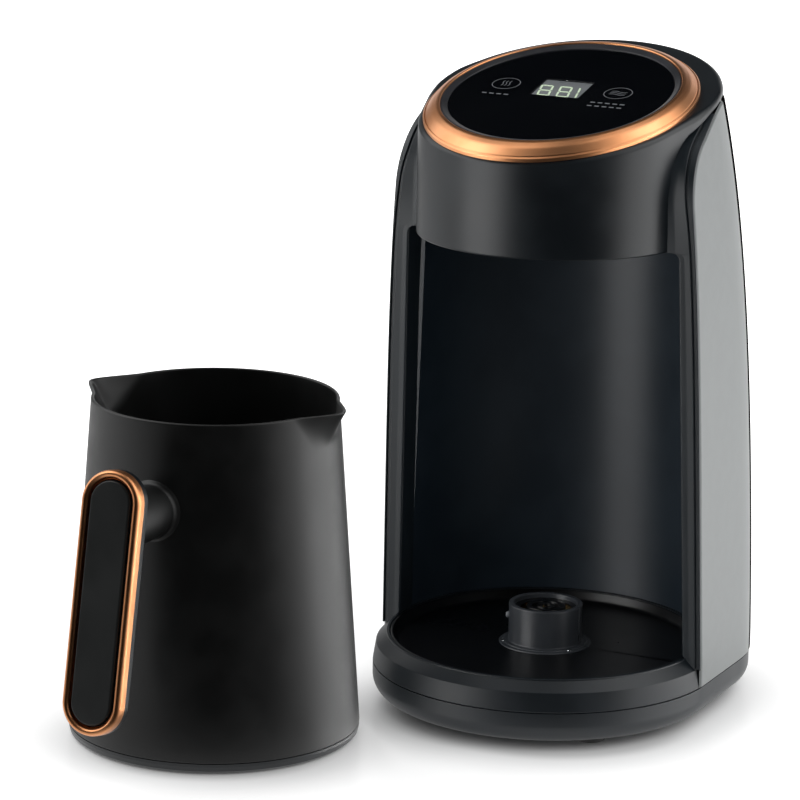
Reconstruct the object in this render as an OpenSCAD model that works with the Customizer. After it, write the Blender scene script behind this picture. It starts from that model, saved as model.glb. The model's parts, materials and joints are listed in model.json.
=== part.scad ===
// Electric turkish coffee maker: a tower with a heated round base, and its lift-off pot.
// Millimetres. The origin is on the connector's axis at table level, the front looks along -Y.

/* [Base] */
// Radius of the base's round front, which is also half the base's width
base_r = 72; // [66:1:80]
// How far the base reaches behind the connector's axis
base_rear_y = 94.5; // [88:0.5:104]
// Radius of the base's two rear corners
base_corner_r = 53.5; // [40:0.5:58]
// Height of the rubber feet below the bottom pan
foot_h = 2.4; // [1.6:0.2:4]
// Height of the seam between the bottom pan and the base cover
seam_z = 15.8; // [15:0.2:19]
// Height of the crease where the base cover's wall turns into its sloping top
crease_z = 24; // [22:0.5:26]
// Height of the tray's rim
rim_z = 28.5; // [27:0.5:32]
// Radius of the tray dish
dish_r = 64.8; // [60:0.2:65]
// Wall of the base's mouldings
base_wall = 2.2; // [1.6:0.1:3]

/* [Tower] */
// Half the tower's width at its foot
tower_half_w = 72.6; // [70.6:0.2:75]
// How much the tower's half width leans in over its height
lean_w = 5.4; // [3:0.2:7]
// How much more the half width draws in towards the crown
crown_w = 6; // [4:0.5:8]
// How far the back leans forward over the tower's height
back_lean = 17.7; // [10:0.5:24]
// Height over which the tower tapers
taper_h = 230; // [210:5:260]
// Height of the pot bay's ceiling
bay_top_z = 198; // [185:1:210]
// Thickness of the side panels and the rear cover
skin_t = 2.2; // [1.6:0.1:3]
// Thickness of the pot bay's liner
liner_t = 1.8; // [1.4:0.1:2.6]
// Radius of the liner at the tray and at the ceiling
liner_r = 66; // [65.8:0.1:66.4]
liner_top_r = 61.4; // [58:0.2:62]
// Depth of the front frame's columns
column_d = 12; // [8:1:16]

/* [Head] */
// Radius of the head's round front
drum_r = 56.7; // [52:0.5:60]
// Radius of the head's rear half, and how far behind the front's centre it is centred
crown_r = 60.8; // [58:0.5:62]
crown_y = 15.5; // [12:0.5:20]
// Wall of the head shell
head_wall = 2.4; // [1.8:0.1:3]
// Height of the control face's centre above the pot bay's ceiling
head_h = 53.3; // [50:0.1:58]
// Tilt of the control face
face_tilt = 13.5; // [11:0.5:15]
// Half width and half length of the trim ring's outer edge
ring_half_w = 55.2; // [50:0.2:56]
ring_half_l = 62.6; // [56:0.2:63]
// Width of the trim ring at its sides and at its ends, and how far its crest stands up
ring_w_side = 6.9; // [5:0.1:8]
ring_w_end = 9.2; // [6:0.1:10]
ring_rise = 5.9; // [4:0.1:7]
// Width and length of the display window
display_w = 21; // [18:0.2:24]
display_l = 17.2; // [12:0.2:18]
// Where the window's centre lies on the control face: across, and up its slope
display_u = -2; // [-4:0.2:4]
display_v = 5.6; // [0:0.2:8]
// Thickness of the touch glass
glass_t = 3; // [2:0.2:3.4]

/* [Connector] */
// Radius of the connector's boss and height of its top
boss_r = 15.4; // [14:0.1:17]
boss_z = 41.3; // [38:0.1:45]
// Travel of the presence plunger in the boss
plunger_travel = 0.8; // [0.4:0.1:1]

/* [Pot] */
// Where the pot stands beside the tower
pot_x = -101.5; // [-130:0.5:-100]
pot_y = -102.5; // [-120:0.5:-100]
// Height of the pot's rim
pot_h = 139.5; // [125:0.5:150]
// Radius of the pot's wall at its foot and at its rim
pot_foot_r = 59.2; // [56:0.2:60]
pot_rim_r = 49.7; // [46:0.2:52]
// Wall of the pot
pot_wall = 1.4; // [1:0.1:2]
// Radius that the spouts' tips reach
spout_r = 58; // [55:0.5:60]
// Height of the pot's floor above the table
pot_floor_z = 24; // [23:0.2:28]
// Height of the seam above the base cap
cap_seam_z = 4.6; // [4:0.1:6]

/* [Handle] */
// Length, width and thickness of the handle's grip plate
grip_l = 103; // [90:1:110]
grip_w = 25.5; // [22:0.5:30]
grip_t = 9; // [8:0.2:11]
// Lean of the grip plate away from upright
grip_lean = 11.3; // [8:0.1:14]
// Distance and height of the grip plate's middle from the pot's axis and the table
grip_y = 88; // [84:0.5:94]
grip_z = 76; // [72:0.5:82]
// Radius of the handle's neck and height of its axis
neck_r = 10.5; // [9:0.1:12]
neck_z = 104; // [98:0.5:110]

/* [Hidden] */
$fn = 64;

eps = 0.01;              // overlap that makes a union or a cut certain
fit = 0.1;               // clearance of a guided or seated piece
seam_gap = 0.4;          // visible seam between neighbouring shells
elbow = 0.15;            // a wire's elbows are this much thicker than the wire
far = 400;               // longer than anything in the model

satin_black = "#2b2d2f";
gloss_black = "#101214";
liner_black = "#1b2024";
panel_grey = "#a6a8a8";
copper = "#d8935a";
steel = "#b9bcc0";
brass = "#c9a24e";
board_green = "#2c5a3a";
part_grey = "#6c7074";
rubber = "#1c1c1c";
white_plastic = "#d8dad6";
silicone = "#8d8f90";

// ---- base, derived ----
pan_z = foot_h;                          // underside of the bottom pan
pan_floor = pan_z + base_wall;           // top of the pan's floor
pan_round = 8;                           // rounding of the pan's lower edge
crease_in = 1.3;                         // the crease stands this far inside the base's outline
lip_w = 0.6;                             // flat lip around the dish
well_r = dish_r + 0.2;                   // well that holds the dish
dish_t = 0.8;
dish_floor = crease_z + 0.3;             // top of the dish's floor
cover_floor = dish_floor - dish_t - fit; // top of the base cover's floor, under the dish
cover_under = cover_floor - base_wall;
deck_gap = 0.6;                          // between the deck and the tower's skins
// the deck stays this far inside the base's outline, and inside the tower's skins
deck_inset = skin_t + max(1.1, base_r - tower_half_w + deck_gap);
post_r = 4;                              // screw posts
pilot_r = 1.3;
screw_r = 1.25;
screw_head_r = 2.9;
screw_head_h = 1.6;
pan_screw_at = [[48, -26], [-48, -26], [50, 52], [-50, 52]];
foot_at = [[39, -42], [-39, -42], [44, 70], [-44, 70]];
foot_r = 6.5;
foot_peg_r = 2;
pan_pad_h = 1.4;                         // pads that stiffen the pan's floor round its screws
gland_x = 0;                             // rubber gland of the power cord, in the rear wall
gland_r = 4.5;
gland_bore_r = 3.3;
gland_flange_r = 5.1;
gland_z = seam_z - gland_flange_r + fit;  // its flange ends at the seam
gland_lip = 2.2;
gland_in_y = base_rear_y - pan_round + 1.2;  // inner end of the gland
lead_short = 1.6;                        // the mains leads end this far before the gland

// ---- tower, derived ----
taper_z = crease_z + 1;                  // the taper starts here
corner_grow = crown_r - base_corner_r;   // the rear corners grow into the crown's radius
arm_z = bay_top_z + 18;                  // the columns' fronts stop being upright here
arm_r = 28.8;                            // radius of the arms' bend
arm_turn = 59;                           // turn of the arms' bend
front_foot_y = -6.9;                     // front of the columns at their foot
front_head_y = -14.6;                    // and where they start to bend
panel_back = 1.6;                        // the side panels start this far behind the columns' front
skirt_y = front_foot_y + panel_back - seam_gap;  // behind this the tower's skins reach the seam
arm_lift = 3;                            // the arms' inner edge stands above their outer edge
arm_in = 52;                             // inner side of the arms, under the head
column_in = 1.7;                         // the columns' inner face stands inside the liner's
column_gap = 0.3;                        // between a column and the side panel
edge_in = 0.15;                          // the columns' outer ledge ends this far inside the skins
ledge_d = panel_back - column_gap;       // depth of that ledge, which covers the panel's edge
arm_thin = 0.72;                         // share of its depth that an arm loses towards its tip
panel_rear_a = 18;                       // how far the side panels wrap round the rear corners
tip_curl = 0.42;                         // the arms' tips curl back to follow the sloping top
tip_from = 9;                            // this far above the bends
frame_tip_z = arm_z + 34.5;

taper_bay_z = 198;                       // height of the bay that the taper's height belongs to
function taper(z) = max(0, (z - taper_z) / (taper_h + bay_top_z - taper_bay_z));
function half_w(z) = tower_half_w - lean_w * taper(z) - crown_w * pow(taper(z), 5);
function corner_r(z) = base_corner_r + corner_grow * pow(taper(z), 2);
function rear_y(z) = base_rear_y - 0.5 - back_lean * pow(taper(z), 2);
function corner_y(z) = rear_y(z) - corner_r(z);
function corner_x(z) = half_w(z) - corner_r(z);

// point of the tower's right skin at height z and normal angle a, sunk by d
function corner_at(z, a, d) =
    [corner_x(z) + (corner_r(z) - d) * cos(a), corner_y(z) + (corner_r(z) - d) * sin(a), z];
// point of the tower's right skin at height z and depth y, sunk by d
function skin_at(z, y, d) =
    y <= corner_y(z) ? [half_w(z) - d, y, z]
                     : corner_at(z, asin((y - corner_y(z)) / corner_r(z)), d);
// depth of the back at x
function back_y(x, z) =
    x <= corner_x(z) ? rear_y(z) : corner_y(z) + sqrt(pow(corner_r(z), 2) - pow(x - corner_x(z), 2));
function panel_rear_y(z) = corner_y(z) + corner_r(z) * sin(panel_rear_a);

// front line of the frame's outer edge: upright column, bend, straight arm
bend_end_z = arm_z + arm_r * sin(arm_turn);
bend_end_y = front_head_y + arm_r * (1 - cos(arm_turn));
function front_y(z) =
    z <= arm_z ? front_foot_y + (front_head_y - front_foot_y) * (z - taper_z) / (arm_z - taper_z)
    : z <= bend_end_z ? front_head_y + arm_r * (1 - sqrt(1 - pow((z - arm_z) / arm_r, 2)))
    : bend_end_y + (z - bend_end_z) * tan(arm_turn)
      + tip_curl * pow(max(0, z - bend_end_z - tip_from), 2);
// the way from that line into the frame
function front_turn(z) =
    z <= arm_z ? 0 : z <= bend_end_z ? asin((z - arm_z) / arm_r) : arm_turn;

// the arms' inner edge stands this far above their outer edge
function lift_at(z) =
    z <= arm_z ? 0
    : z <= bend_end_z ? arm_lift * sin(front_turn(z)) / sin(arm_turn)
    : arm_lift * max(0, (frame_tip_z - z) / (frame_tip_z - bend_end_z));

// the head's sloping top, and the lower edge of its lip
face_y = 3.6;
face_z = bay_top_z + head_h;
face_slope = tan(face_tilt);
lip_t = 3.2;
function face_top(y) = face_z + (y - face_y) * face_slope;
function lip_z(y) = face_top(y) - lip_t;
lip_end_y = 30.7;                        // behind this the lip's edge runs level
rear_top_z = lip_z(lip_end_y) - seam_gap;
panel_top_z = rear_top_z;
function lip_y(z) = face_y + (z + seam_gap - face_z + lip_t) / face_slope;

rear_screw_at = [[27, 48], [-27, 48], [22, 178], [-22, 178]];
rear_screw_l = 14;
rear_post_r = 3.6;
post_short = 0.6;                        // the liner's posts end this far before the rear cover

// ---- power board, derived ----
board_t = 1.6;
board_y = 72;                            // its front face, behind the liner
board_top = board_y + board_t;
power_board_w = 58;
power_board_h = 88;
power_board_z = 66;
power_screw_at = [for (x = [-1, 1]) for (z = [0, 1])
    [x * (power_board_w / 2 - 5), power_board_z + 5 + z * (power_board_h - 10)]];
board_hole_r = 1.2;
board_screw_head = [2, 1.4];             // radius and height
board_screw_r = 0.95;
relay_size = [19, 10, 15];
transformer_size = [16, 11, 18];
winding_size = [12, 9, 3];
film_cap_size = [6, 9, 16];
can_caps = [[4, 10, 62], [3.2, 9, 50]];  // radius, height and place up the board
terminal_size = [30, 9, 8];
loom_y = 79;                             // the wires rise behind the liner at this depth
loom_x = 18;

function liner_r_at(z) = liner_r + (liner_top_r - liner_r) * (z - rim_z) / (bay_top_z - rim_z);

// ---- head, derived ----
ceiling_t = 2;
ceiling_z = bay_top_z + 0.2;
tangent_a = asin((crown_r - drum_r) / crown_y);
side_sink = 0.04;        // the head's flat sides lie this far inside the tangent of its curves
ring_seg = 72;
bezel_in = 1.03;         // the oval's shares, from 0 at the ring's outer edge to 1 at its crest
bezel_out = 1.4;
ledge_in = 1.9;
opening_in = 1.8;
glass_h = 4.2;           // top of the glass above the head's sloping top
ledge_h = glass_h - glass_t - fit;
board_half_w = 48.5;
board_half_l = 22;
board_h = -4.4;          // top of the control board, below the head's sloping top
board_screw_x = 45.5;
board_screw_v = 16.5;
window_t = 1.4;
window_sink = 0.5;       // the window lies this far below the glass's top
digit_t = 0.25;
digit_u = 2.1;           // middle numeral, from the window's centre
digit_v = -2.7;
digit_pitch = 8.4;
digit_w = 5.6;
digit_l = 10.8;
digit_lean = 0.2;        // the numerals lean this much for each millimetre of height
stroke = 1;
stroke_gap = 0.25;       // between neighbouring segments
icon_u = 24.8;           // touch fields, left and right of the window's centre
icon_r = 5;              // their springs
head_post_at = [[34, -34], [-34, -34], [34, 40], [-34, 40]];
sensor_y = 6;

// ---- connector, derived ----
flange_r = boss_r + 4;
flange_t = 1.3;
housing_z = 9;                           // underside of the connector housing
throat_r = boss_r - 1.4;                 // its part below the tray
outer_slot = [8.2, 10.6];
inner_slot = [3.9, 5.7];
slot_z = boss_z - 13;
contact_t = 0.5;
contact_h = 7;
pin_bore_r = 2;
clamp_t = 2.4;
clamp_screw_r = flange_r - 2.3;
clamp_angles = [90, 210, 330];
plunger_a = 205.5;                       // direction of the plunger from the boss's axis
plunger_z = boss_z - 5.6;
plunger_out = plunger_travel + 0.4;       // it stands out of the boss by this
plunger_r = 1.3;
plunger_head_r = 1.9;
plunger_lip = 1;                         // wall that holds the plunger back
plunger_flange_t = 1.1;
plunger_tip_h = 0.6;
// the pocket leaves the spring its travel and as much again when pressed
plunger_pocket = plunger_lip + plunger_flange_t + 2 * plunger_travel + 0.3;

// ---- pot, derived ----
pot_taper = (pot_foot_r - pot_rim_r) / (pot_h - cap_seam_z);
function pot_r(z) = pot_foot_r - pot_taper * (z - cap_seam_z);
spout_half_a = 17;
spout_drop = 15;
plate_z = pot_floor_z - pot_wall - 2.8;  // underside of the heating plate
plate_t = 2.7;
socket_r = boss_r + 0.4;
socket_wall = 6.2;                       // of the socket's skirt, with its mouth's counterbore
socket_out_r = socket_r + socket_wall;
socket_top = plate_z - fit;
socket_depth = boss_z - dish_floor + 0.2;
mouth_r = flange_r + 0.6;
mouth_h = flange_t + 0.5;
cap_t = 1.6;
cap_hole_r = socket_out_r + 0.3;
socket_screw_r = socket_out_r + 3.5;
socket_angles = [0, 120, 240];
socket_ear_t = 2.4;
socket_ear_r = socket_screw_r + 3.4;
element_tube_r = 3.2;
element_r = socket_ear_r + 1.9 + element_tube_r;
element_out_r = element_r + element_tube_r;
probe_r = 2.6;
probe_y = -(element_out_r + 0.7 + probe_r);
fuse_r = 2;
fuse_y = element_out_r + 1.8 + fuse_r;
plate_r = fuse_y + fuse_r + 1;
pot_contact_h = 9;
cap_post_at = [for (a = [45 : 90 : 315]) [46 * cos(a), 46 * sin(a)]];

// ---- handle, derived ----
frame_w = 3.6;           // width of the metal frame seen from the front
frame_t = 5;
insert_gap = 0.4;
neck_flare = [4, 8];     // how much wider the neck is at the pot, and over what length
grip_back = -grip_t / 2;
screw_w = grip_back + 2; // seat of the handle's screw in the grip
screw_v = (neck_z - grip_z - screw_w * sin(grip_lean)) / cos(grip_lean);

// ================= shared shapes =================

// closed skin through rings of points; each ring runs out along one side and back along the other
module skin(rings) {
    n = len(rings[0]);
    m = len(rings);
    top = (m - 1) * n;
    polyhedron(
        points = [for (r = rings) for (p = r) p],
        faces = concat(
            [for (k = [0 : n / 2 - 2]) [k, k + 1, n - 2 - k]],
            [for (k = [0 : n / 2 - 2]) [k, n - 2 - k, n - 1 - k]],
            [for (i = [0 : m - 2]) for (j = [0 : n - 1])
                [i * n + j, (i + 1) * n + j, (i + 1) * n + (j + 1) % n]],
            [for (i = [0 : m - 2]) for (j = [0 : n - 1])
                [i * n + j, (i + 1) * n + (j + 1) % n, i * n + (j + 1) % n]],
            [for (k = [0 : n / 2 - 2]) [top + n - 2 - k, top + k + 1, top + k]],
            [for (k = [0 : n / 2 - 2]) [top + n - 1 - k, top + n - 2 - k, top + k]]));
}

// outline of the base, drawn in by d
module base_plan(d) {
    circle(base_r - d);
    translate([-(base_r - d), 0]) square([2 * (base_r - d), base_rear_y - base_corner_r]);
    for (s = [-1, 1])
        translate([s * (base_r - base_corner_r), base_rear_y - base_corner_r])
            circle(base_corner_r - d);
    translate([-(base_r - base_corner_r), 0])
        square([2 * (base_r - base_corner_r), base_rear_y - d]);
}

// a profile of [distance out from the outline, height] carried round the base
module around_base() {
    side_l = base_rear_y - base_corner_r;
    rear_l = 2 * (base_r - base_corner_r);
    rotate([0, 0, 180]) rotate_extrude(angle = 180) translate([base_r, 0]) children();
    for (s = [0, 1]) mirror([s, 0, 0]) {
        translate([base_r, side_l, 0]) rotate([90, 0, 0]) linear_extrude(side_l) children();
        translate([base_r - base_corner_r, side_l, 0])
            rotate_extrude(angle = 90) translate([base_corner_r, 0]) children();
    }
    translate([-rear_l / 2, base_rear_y, 0]) rotate([90, 0, 90]) linear_extrude(rear_l) children();
}

// round bar between two points
module bar(from, to, r) {
    d = to - from;
    l = norm(d);
    translate(from) rotate([0, acos(d[2] / l), atan2(d[1], d[0])]) cylinder(r = r, h = l);
}

// wire through a list of points, with round elbows
module wire(points, r) {
    for (i = [0 : len(points) - 2]) bar(points[i], points[i + 1], r);
    for (i = [1 : len(points) - 2]) translate(points[i]) sphere(r + elbow);
}

module screw(length) {
    cylinder(r = screw_head_r, h = screw_head_h);
    translate([0, 0, screw_head_h - eps]) cylinder(r = screw_r, h = length - screw_head_h + eps);
}

module on_face() {
    translate([0, face_y, face_z]) rotate([face_tilt, 0, 0]) children();
}

// point of the control face's oval: share s of the way in, angle a, height h
function oval(s, a, h) =
    [(ring_half_w - s * ring_w_side) * cos(a), (ring_half_l - s * ring_w_end) * sin(a), h];

module oval_plate(s, h, t) {
    translate([0, 0, h]) linear_extrude(t)
        polygon([for (i = [0 : ring_seg - 1])
            let (p = oval(s, i * 360 / ring_seg, 0)) [p[0], p[1]]]);
}

// a section of [share, height] carried round the control face's oval
module oval_ring(section) {
    n = len(section);
    polyhedron(
        points = [for (i = [0 : ring_seg - 1]) for (p = section)
            oval(p[0], i * 360 / ring_seg, p[1])],
        faces = concat(
            [for (i = [0 : ring_seg - 1]) for (j = [0 : n - 1])
                [i * n + j, i * n + (j + 1) % n, ((i + 1) % ring_seg) * n + (j + 1) % n]],
            [for (i = [0 : ring_seg - 1]) for (j = [0 : n - 1])
                [i * n + j, ((i + 1) % ring_seg) * n + (j + 1) % n, ((i + 1) % ring_seg) * n + j]]));
}

// ================= base =================

module rubber_feet() {
    color(rubber) for (p = foot_at) translate([p[0], p[1], 0]) {
        cylinder(r = foot_r, h = foot_h);
        cylinder(r = foot_peg_r, h = pan_floor + 0.6);
    }
}

// the pan's solid shape, sunk by d and cut level at the top
module pan_form(d, top) {
    inner = pan_round + 2;
    translate([0, 0, pan_z + d]) linear_extrude(top - pan_z - d) base_plan(inner - 1);
    around_base() difference() {
        translate([-inner, pan_z + d]) square([inner - d, top - pan_z - d]);
        difference() {
            translate([-pan_round, pan_z + d - 1]) square([pan_round, pan_round - d + 1]);
            translate([-pan_round, pan_z + pan_round]) circle(pan_round - d);
        }
    }
}

module bottom_pan() {
    color(satin_black) difference() {
        union() {
            difference() {
                pan_form(0, seam_z);
                pan_form(base_wall, seam_z + 5);
            }
            for (p = pan_screw_at) translate([p[0], p[1], pan_floor - eps])
                cylinder(r = post_r, h = pan_pad_h + eps);
        }
        for (p = pan_screw_at) translate([p[0], p[1], pan_z - eps]) {
            cylinder(r = screw_r + 0.35, h = far);
            cylinder(r = screw_head_r + 0.4, h = screw_head_h + 0.4);
        }
        for (p = foot_at) translate([p[0], p[1], pan_z - eps])
            cylinder(r = foot_peg_r + fit, h = far);
        translate([gland_x, base_rear_y - base_wall - 8, gland_z]) rotate([-90, 0, 0])
            cylinder(r = gland_r, h = 20);
    }
}

module cord_gland() {
    color(rubber) translate([gland_x, 0, gland_z]) rotate([-90, 0, 0]) difference() {
        union() {
            translate([0, 0, gland_in_y]) cylinder(r = gland_r - fit, h = base_rear_y + 1 - gland_in_y);
            translate([0, 0, gland_in_y]) cylinder(r = gland_flange_r, h = gland_lip);
            translate([0, 0, base_rear_y + 0.15]) cylinder(r = gland_flange_r, h = gland_lip - 0.4);
        }
        translate([0, 0, gland_in_y - 1]) cylinder(r = gland_bore_r, h = far);
    }
}

module pan_screws() {
    color(steel) for (p = pan_screw_at) translate([p[0], p[1], pan_z + 0.2]) screw(13);
}

module base_cover() {
    top_in = base_r - (well_r + lip_w);
    color(satin_black) difference() {
        union() {
            intersection() {
                rotate_extrude() polygon([
                    [0, cover_under], [base_r - 4, cover_under], [base_r - 4, seam_z + seam_gap],
                    [base_r, seam_z + seam_gap], [base_r - crease_in, crease_z],
                    [base_r - top_in, rim_z], [0, rim_z]]);
                union() {
                    translate([-far / 2, skirt_y - far, 0]) cube([far, far, far]);
                    linear_extrude(far) base_plan(deck_inset);
                }
            }
            translate([0, 0, seam_z + seam_gap])
                linear_extrude(crease_z - seam_z - seam_gap) base_plan(deck_inset);
            for (p = pan_screw_at) translate([p[0], p[1], pan_floor + pan_pad_h + fit])
                cylinder(r = post_r, h = cover_under - pan_floor - pan_pad_h);
        }
        // hollow behind and below the deck
        difference() {
            translate([0, 0, seam_z - 1]) linear_extrude(cover_under - seam_z + 1)
                base_plan(deck_inset + base_wall);
            for (p = pan_screw_at) translate([p[0], p[1], 0]) cylinder(r = post_r, h = far);
        }
        // well of the dish
        translate([0, 0, cover_floor]) cylinder(r = well_r, h = far);
        // throat of the connector
        cylinder(r = throat_r + 0.3, h = far);
        for (a = clamp_angles) rotate([0, 0, a]) translate([clamp_screw_r, 0, 0])
            cylinder(r = screw_r + 0.2, h = far);
        // seats of the columns
        for (s = [0, 1]) mirror([s, 0, 0])
            translate([dish_r + 0.05, front_foot_y - 0.3, crease_z - 0.3])
                cube([10, column_d + 0.8, 20]);
        for (p = pan_screw_at) translate([p[0], p[1], 0]) cylinder(r = pilot_r, h = cover_under - 0.6);
        // way of the wires up into the tower
        for (s = [-1, 1]) translate([s * loom_x, loom_y, 0]) cylinder(r = 4, h = far);
    }
}

module tray_dish() {
    color(gloss_black) difference() {
        translate([0, 0, dish_floor - dish_t]) cylinder(r = dish_r, h = rim_z - 0.2 - dish_floor + dish_t);
        translate([0, 0, dish_floor])
            cylinder(r1 = dish_r - 2.4, r2 = dish_r - dish_t, h = rim_z - dish_floor);
        cylinder(r = throat_r + 0.3, h = far);
        for (a = clamp_angles) rotate([0, 0, a]) translate([clamp_screw_r, 0, 0])
            cylinder(r = screw_r + 0.2, h = far);
    }
}

module connector_housing() {
    color(satin_black) difference() {
        union() {
            translate([0, 0, dish_floor]) cylinder(r = flange_r, h = flange_t);
            translate([0, 0, housing_z]) cylinder(r = throat_r, h = dish_floor - housing_z + eps);
            translate([0, 0, dish_floor]) cylinder(r = boss_r, h = boss_z - dish_floor);
        }
        for (slot = [outer_slot, inner_slot]) translate([0, 0, slot_z]) difference() {
            cylinder(r = slot[1], h = far);
            cylinder(r = slot[0], h = far);
        }
        // shallow step inside the rim and the sunk core
        translate([0, 0, boss_z - 1.2]) cylinder(r = outer_slot[1] + 2.4, h = far);
        translate([0, 0, slot_z]) cylinder(r = pin_bore_r, h = far);
        for (a = clamp_angles) rotate([0, 0, a]) translate([clamp_screw_r, 0, dish_floor - eps])
            cylinder(r = pilot_r, h = flange_t - 0.3);
        rotate([0, 0, plunger_a]) translate([0, 0, plunger_z]) rotate([0, 90, 0]) {
            translate([0, 0, boss_r - plunger_pocket])
                cylinder(r = plunger_head_r + fit, h = plunger_pocket - plunger_lip);
            translate([0, 0, boss_r - plunger_lip - eps]) cylinder(r = plunger_r + fit, h = 5);
        }
    }
}

module connector_outer_contact() {
    color(brass) translate([0, 0, slot_z]) difference() {
        cylinder(r = outer_slot[1], h = contact_h);
        translate([0, 0, -1]) cylinder(r = outer_slot[1] - contact_t, h = far);
    }
}

module connector_inner_contact() {
    color(brass) translate([0, 0, slot_z]) difference() {
        cylinder(r = inner_slot[0] + contact_t, h = contact_h);
        translate([0, 0, -1]) cylinder(r = inner_slot[0], h = far);
    }
}

module connector_centre_contact() {
    color(brass) translate([0, 0, slot_z]) difference() {
        cylinder(r = pin_bore_r, h = contact_h + 3);
        translate([0, 0, 1]) cylinder(r = pin_bore_r - contact_t, h = far);
    }
}

module connector_clamp() {
    color(part_grey) translate([0, 0, cover_under - clamp_t]) difference() {
        cylinder(r = flange_r + 1, h = clamp_t);
        translate([0, 0, -1]) cylinder(r = throat_r + fit, h = far);
        for (a = clamp_angles) rotate([0, 0, a]) translate([clamp_screw_r, 0, -1])
            cylinder(r = screw_r + 0.2, h = far);
    }
}

module clamp_screws() {
    color(steel) for (a = clamp_angles) rotate([0, 0, a])
        translate([clamp_screw_r, 0, cover_under - clamp_t - screw_head_h])
            screw(dish_floor + flange_t - 0.5 - cover_under + clamp_t + screw_head_h);
}

module presence_plunger() {
    color(satin_black) rotate([0, 0, plunger_a]) translate([0, 0, plunger_z]) rotate([0, 90, 0]) {
        translate([0, 0, boss_r - plunger_lip - plunger_flange_t])
            cylinder(r = plunger_head_r, h = plunger_flange_t - fit / 2);
        translate([0, 0, boss_r - plunger_lip - 1])
            cylinder(r = plunger_r, h = plunger_lip + 1 + plunger_out - plunger_tip_h);
        translate([0, 0, boss_r + plunger_out - plunger_tip_h - eps])
            cylinder(r1 = plunger_r, r2 = plunger_r - 0.5, h = plunger_tip_h + eps);
    }
}

module plunger_spring() {
    free_l = plunger_pocket - plunger_lip - plunger_flange_t;
    color(steel) rotate([0, 0, plunger_a]) translate([0, 0, plunger_z]) rotate([0, 90, 0])
        translate([0, 0, boss_r - plunger_pocket]) difference() {
            cylinder(r = plunger_head_r - 0.3, h = free_l);
            translate([0, 0, -1]) cylinder(r = plunger_head_r - 0.8, h = far);
        }
}

// ================= tower =================

// rings of one column or arm of the frame, from its foot to its tip
column_z = [crease_z + 0.1, rim_z, rim_z + 1, 60, 110, 155, bay_top_z];
// inner side of a column: outside the dish up to its rim, then in front of the liner's edge
function column_x(z) = z <= rim_z ? dish_r + column_gap : liner_r_at(z) - column_in;
arm_stations = concat(
    [bay_top_z + 0.02, arm_z],
    [for (k = [1 : 8]) arm_z + arm_r * sin(k * arm_turn / 8)],
    [for (k = [1 : 4]) bend_end_z + k * (frame_tip_z - bend_end_z) / 4]);

function frame_ring(z, inner_x, depth) =
    let (t = front_turn(z), lift = lift_at(z),
         y = front_y(z),
         edge_x = skin_at(z, y, edge_in)[0],
         x = skin_at(z, y, skin_t + column_gap)[0],
         rear_x = skin_at(z - depth * sin(t), y + depth * cos(t), skin_t + column_gap)[0])
    [[edge_x, y, z],
     [edge_x, y + ledge_d * cos(t), z - ledge_d * sin(t)],
     [x, y + ledge_d * cos(t), z - ledge_d * sin(t)],
     [min(x, rear_x), y + depth * cos(t), z - depth * sin(t)],
     [inner_x, y + depth * cos(t), z - depth * sin(t)],
     [inner_x, y - lift * cos(t), min(z + lift * sin(t), lip_z(y - lift * cos(t)) - seam_gap)]];

module frame_side() {
    skin(concat(
        [for (z = column_z) frame_ring(z, column_x(z), column_d)],
        [for (z = arm_stations) frame_ring(z, arm_in,
            z <= arm_z ? column_d : column_d * (1 - arm_thin * (z - arm_z) / (frame_tip_z - arm_z)))]));
}

module front_frame() {
    color(satin_black) {
        frame_side();
        mirror([1, 0, 0]) frame_side();
        // crossbar behind the head's front
        translate([-arm_in - 1, front_head_y + 1.2, bay_top_z + ceiling_t + 0.8])
            cube([2 * arm_in + 2, 8, 14]);
    }
}

panel_z = concat([seam_z + seam_gap, 45, 75, 105, 135, 160, 185, arm_z - 14, arm_z],
                 [for (k = [1 : 6]) arm_z + arm_r * sin(k * arm_turn / 6)],
                 [for (k = [1 : 8]) bend_end_z + k * (panel_top_z - bend_end_z) / 8]);

module side_panel() {
    steps = 8;
    skin([for (z = panel_z)
        let (y0 = max(front_y(z) + panel_back / cos(front_turn(z)), lip_y(z)),
             y1 = panel_rear_y(z) - seam_gap / 2)
        concat(
            [for (k = [0 : steps]) skin_at(z, y0 + (y1 - y0) * k / steps, 0)],
            [for (k = [steps : -1 : 0]) skin_at(z, y0 + (y1 - y0) * k / steps, skin_t)])]);
}

module side_panel_left() { color(panel_grey) mirror([1, 0, 0]) side_panel(); }

module side_panel_right() { color(panel_grey) side_panel(); }

rear_z = concat([seam_z + seam_gap, 50, 85, 120], [for (z = [145 : 16 : 241]) z], [rear_top_z]);

module rear_cover() {
    steps = 12;
    a0 = panel_rear_a + 0.5;
    color(satin_black) difference() {
        skin([for (z = rear_z) concat(
            [for (k = [0 : steps]) corner_at(z, a0 + (90 - a0) * k / steps, 0)],
            [for (k = [steps : -1 : 0])
                let (p = corner_at(z, a0 + (90 - a0) * k / steps, 0)) [-p[0], p[1], z]],
            [for (k = [0 : steps])
                let (p = corner_at(z, a0 + (90 - a0) * k / steps, skin_t)) [-p[0], p[1], z]],
            [for (k = [steps : -1 : 0]) corner_at(z, a0 + (90 - a0) * k / steps, skin_t)])]);
        for (p = rear_screw_at) translate([p[0], 0, p[1]]) rotate([-90, 0, 0])
            cylinder(r = screw_r + 0.3, h = far);
    }
}

module rear_screws() {
    color(steel) for (p = rear_screw_at)
        translate([p[0], back_y(abs(p[0]) - screw_head_r, p[1]) + screw_head_h + 0.1, p[1]])
            rotate([90, 0, 0]) screw(rear_screw_l);
}

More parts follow.
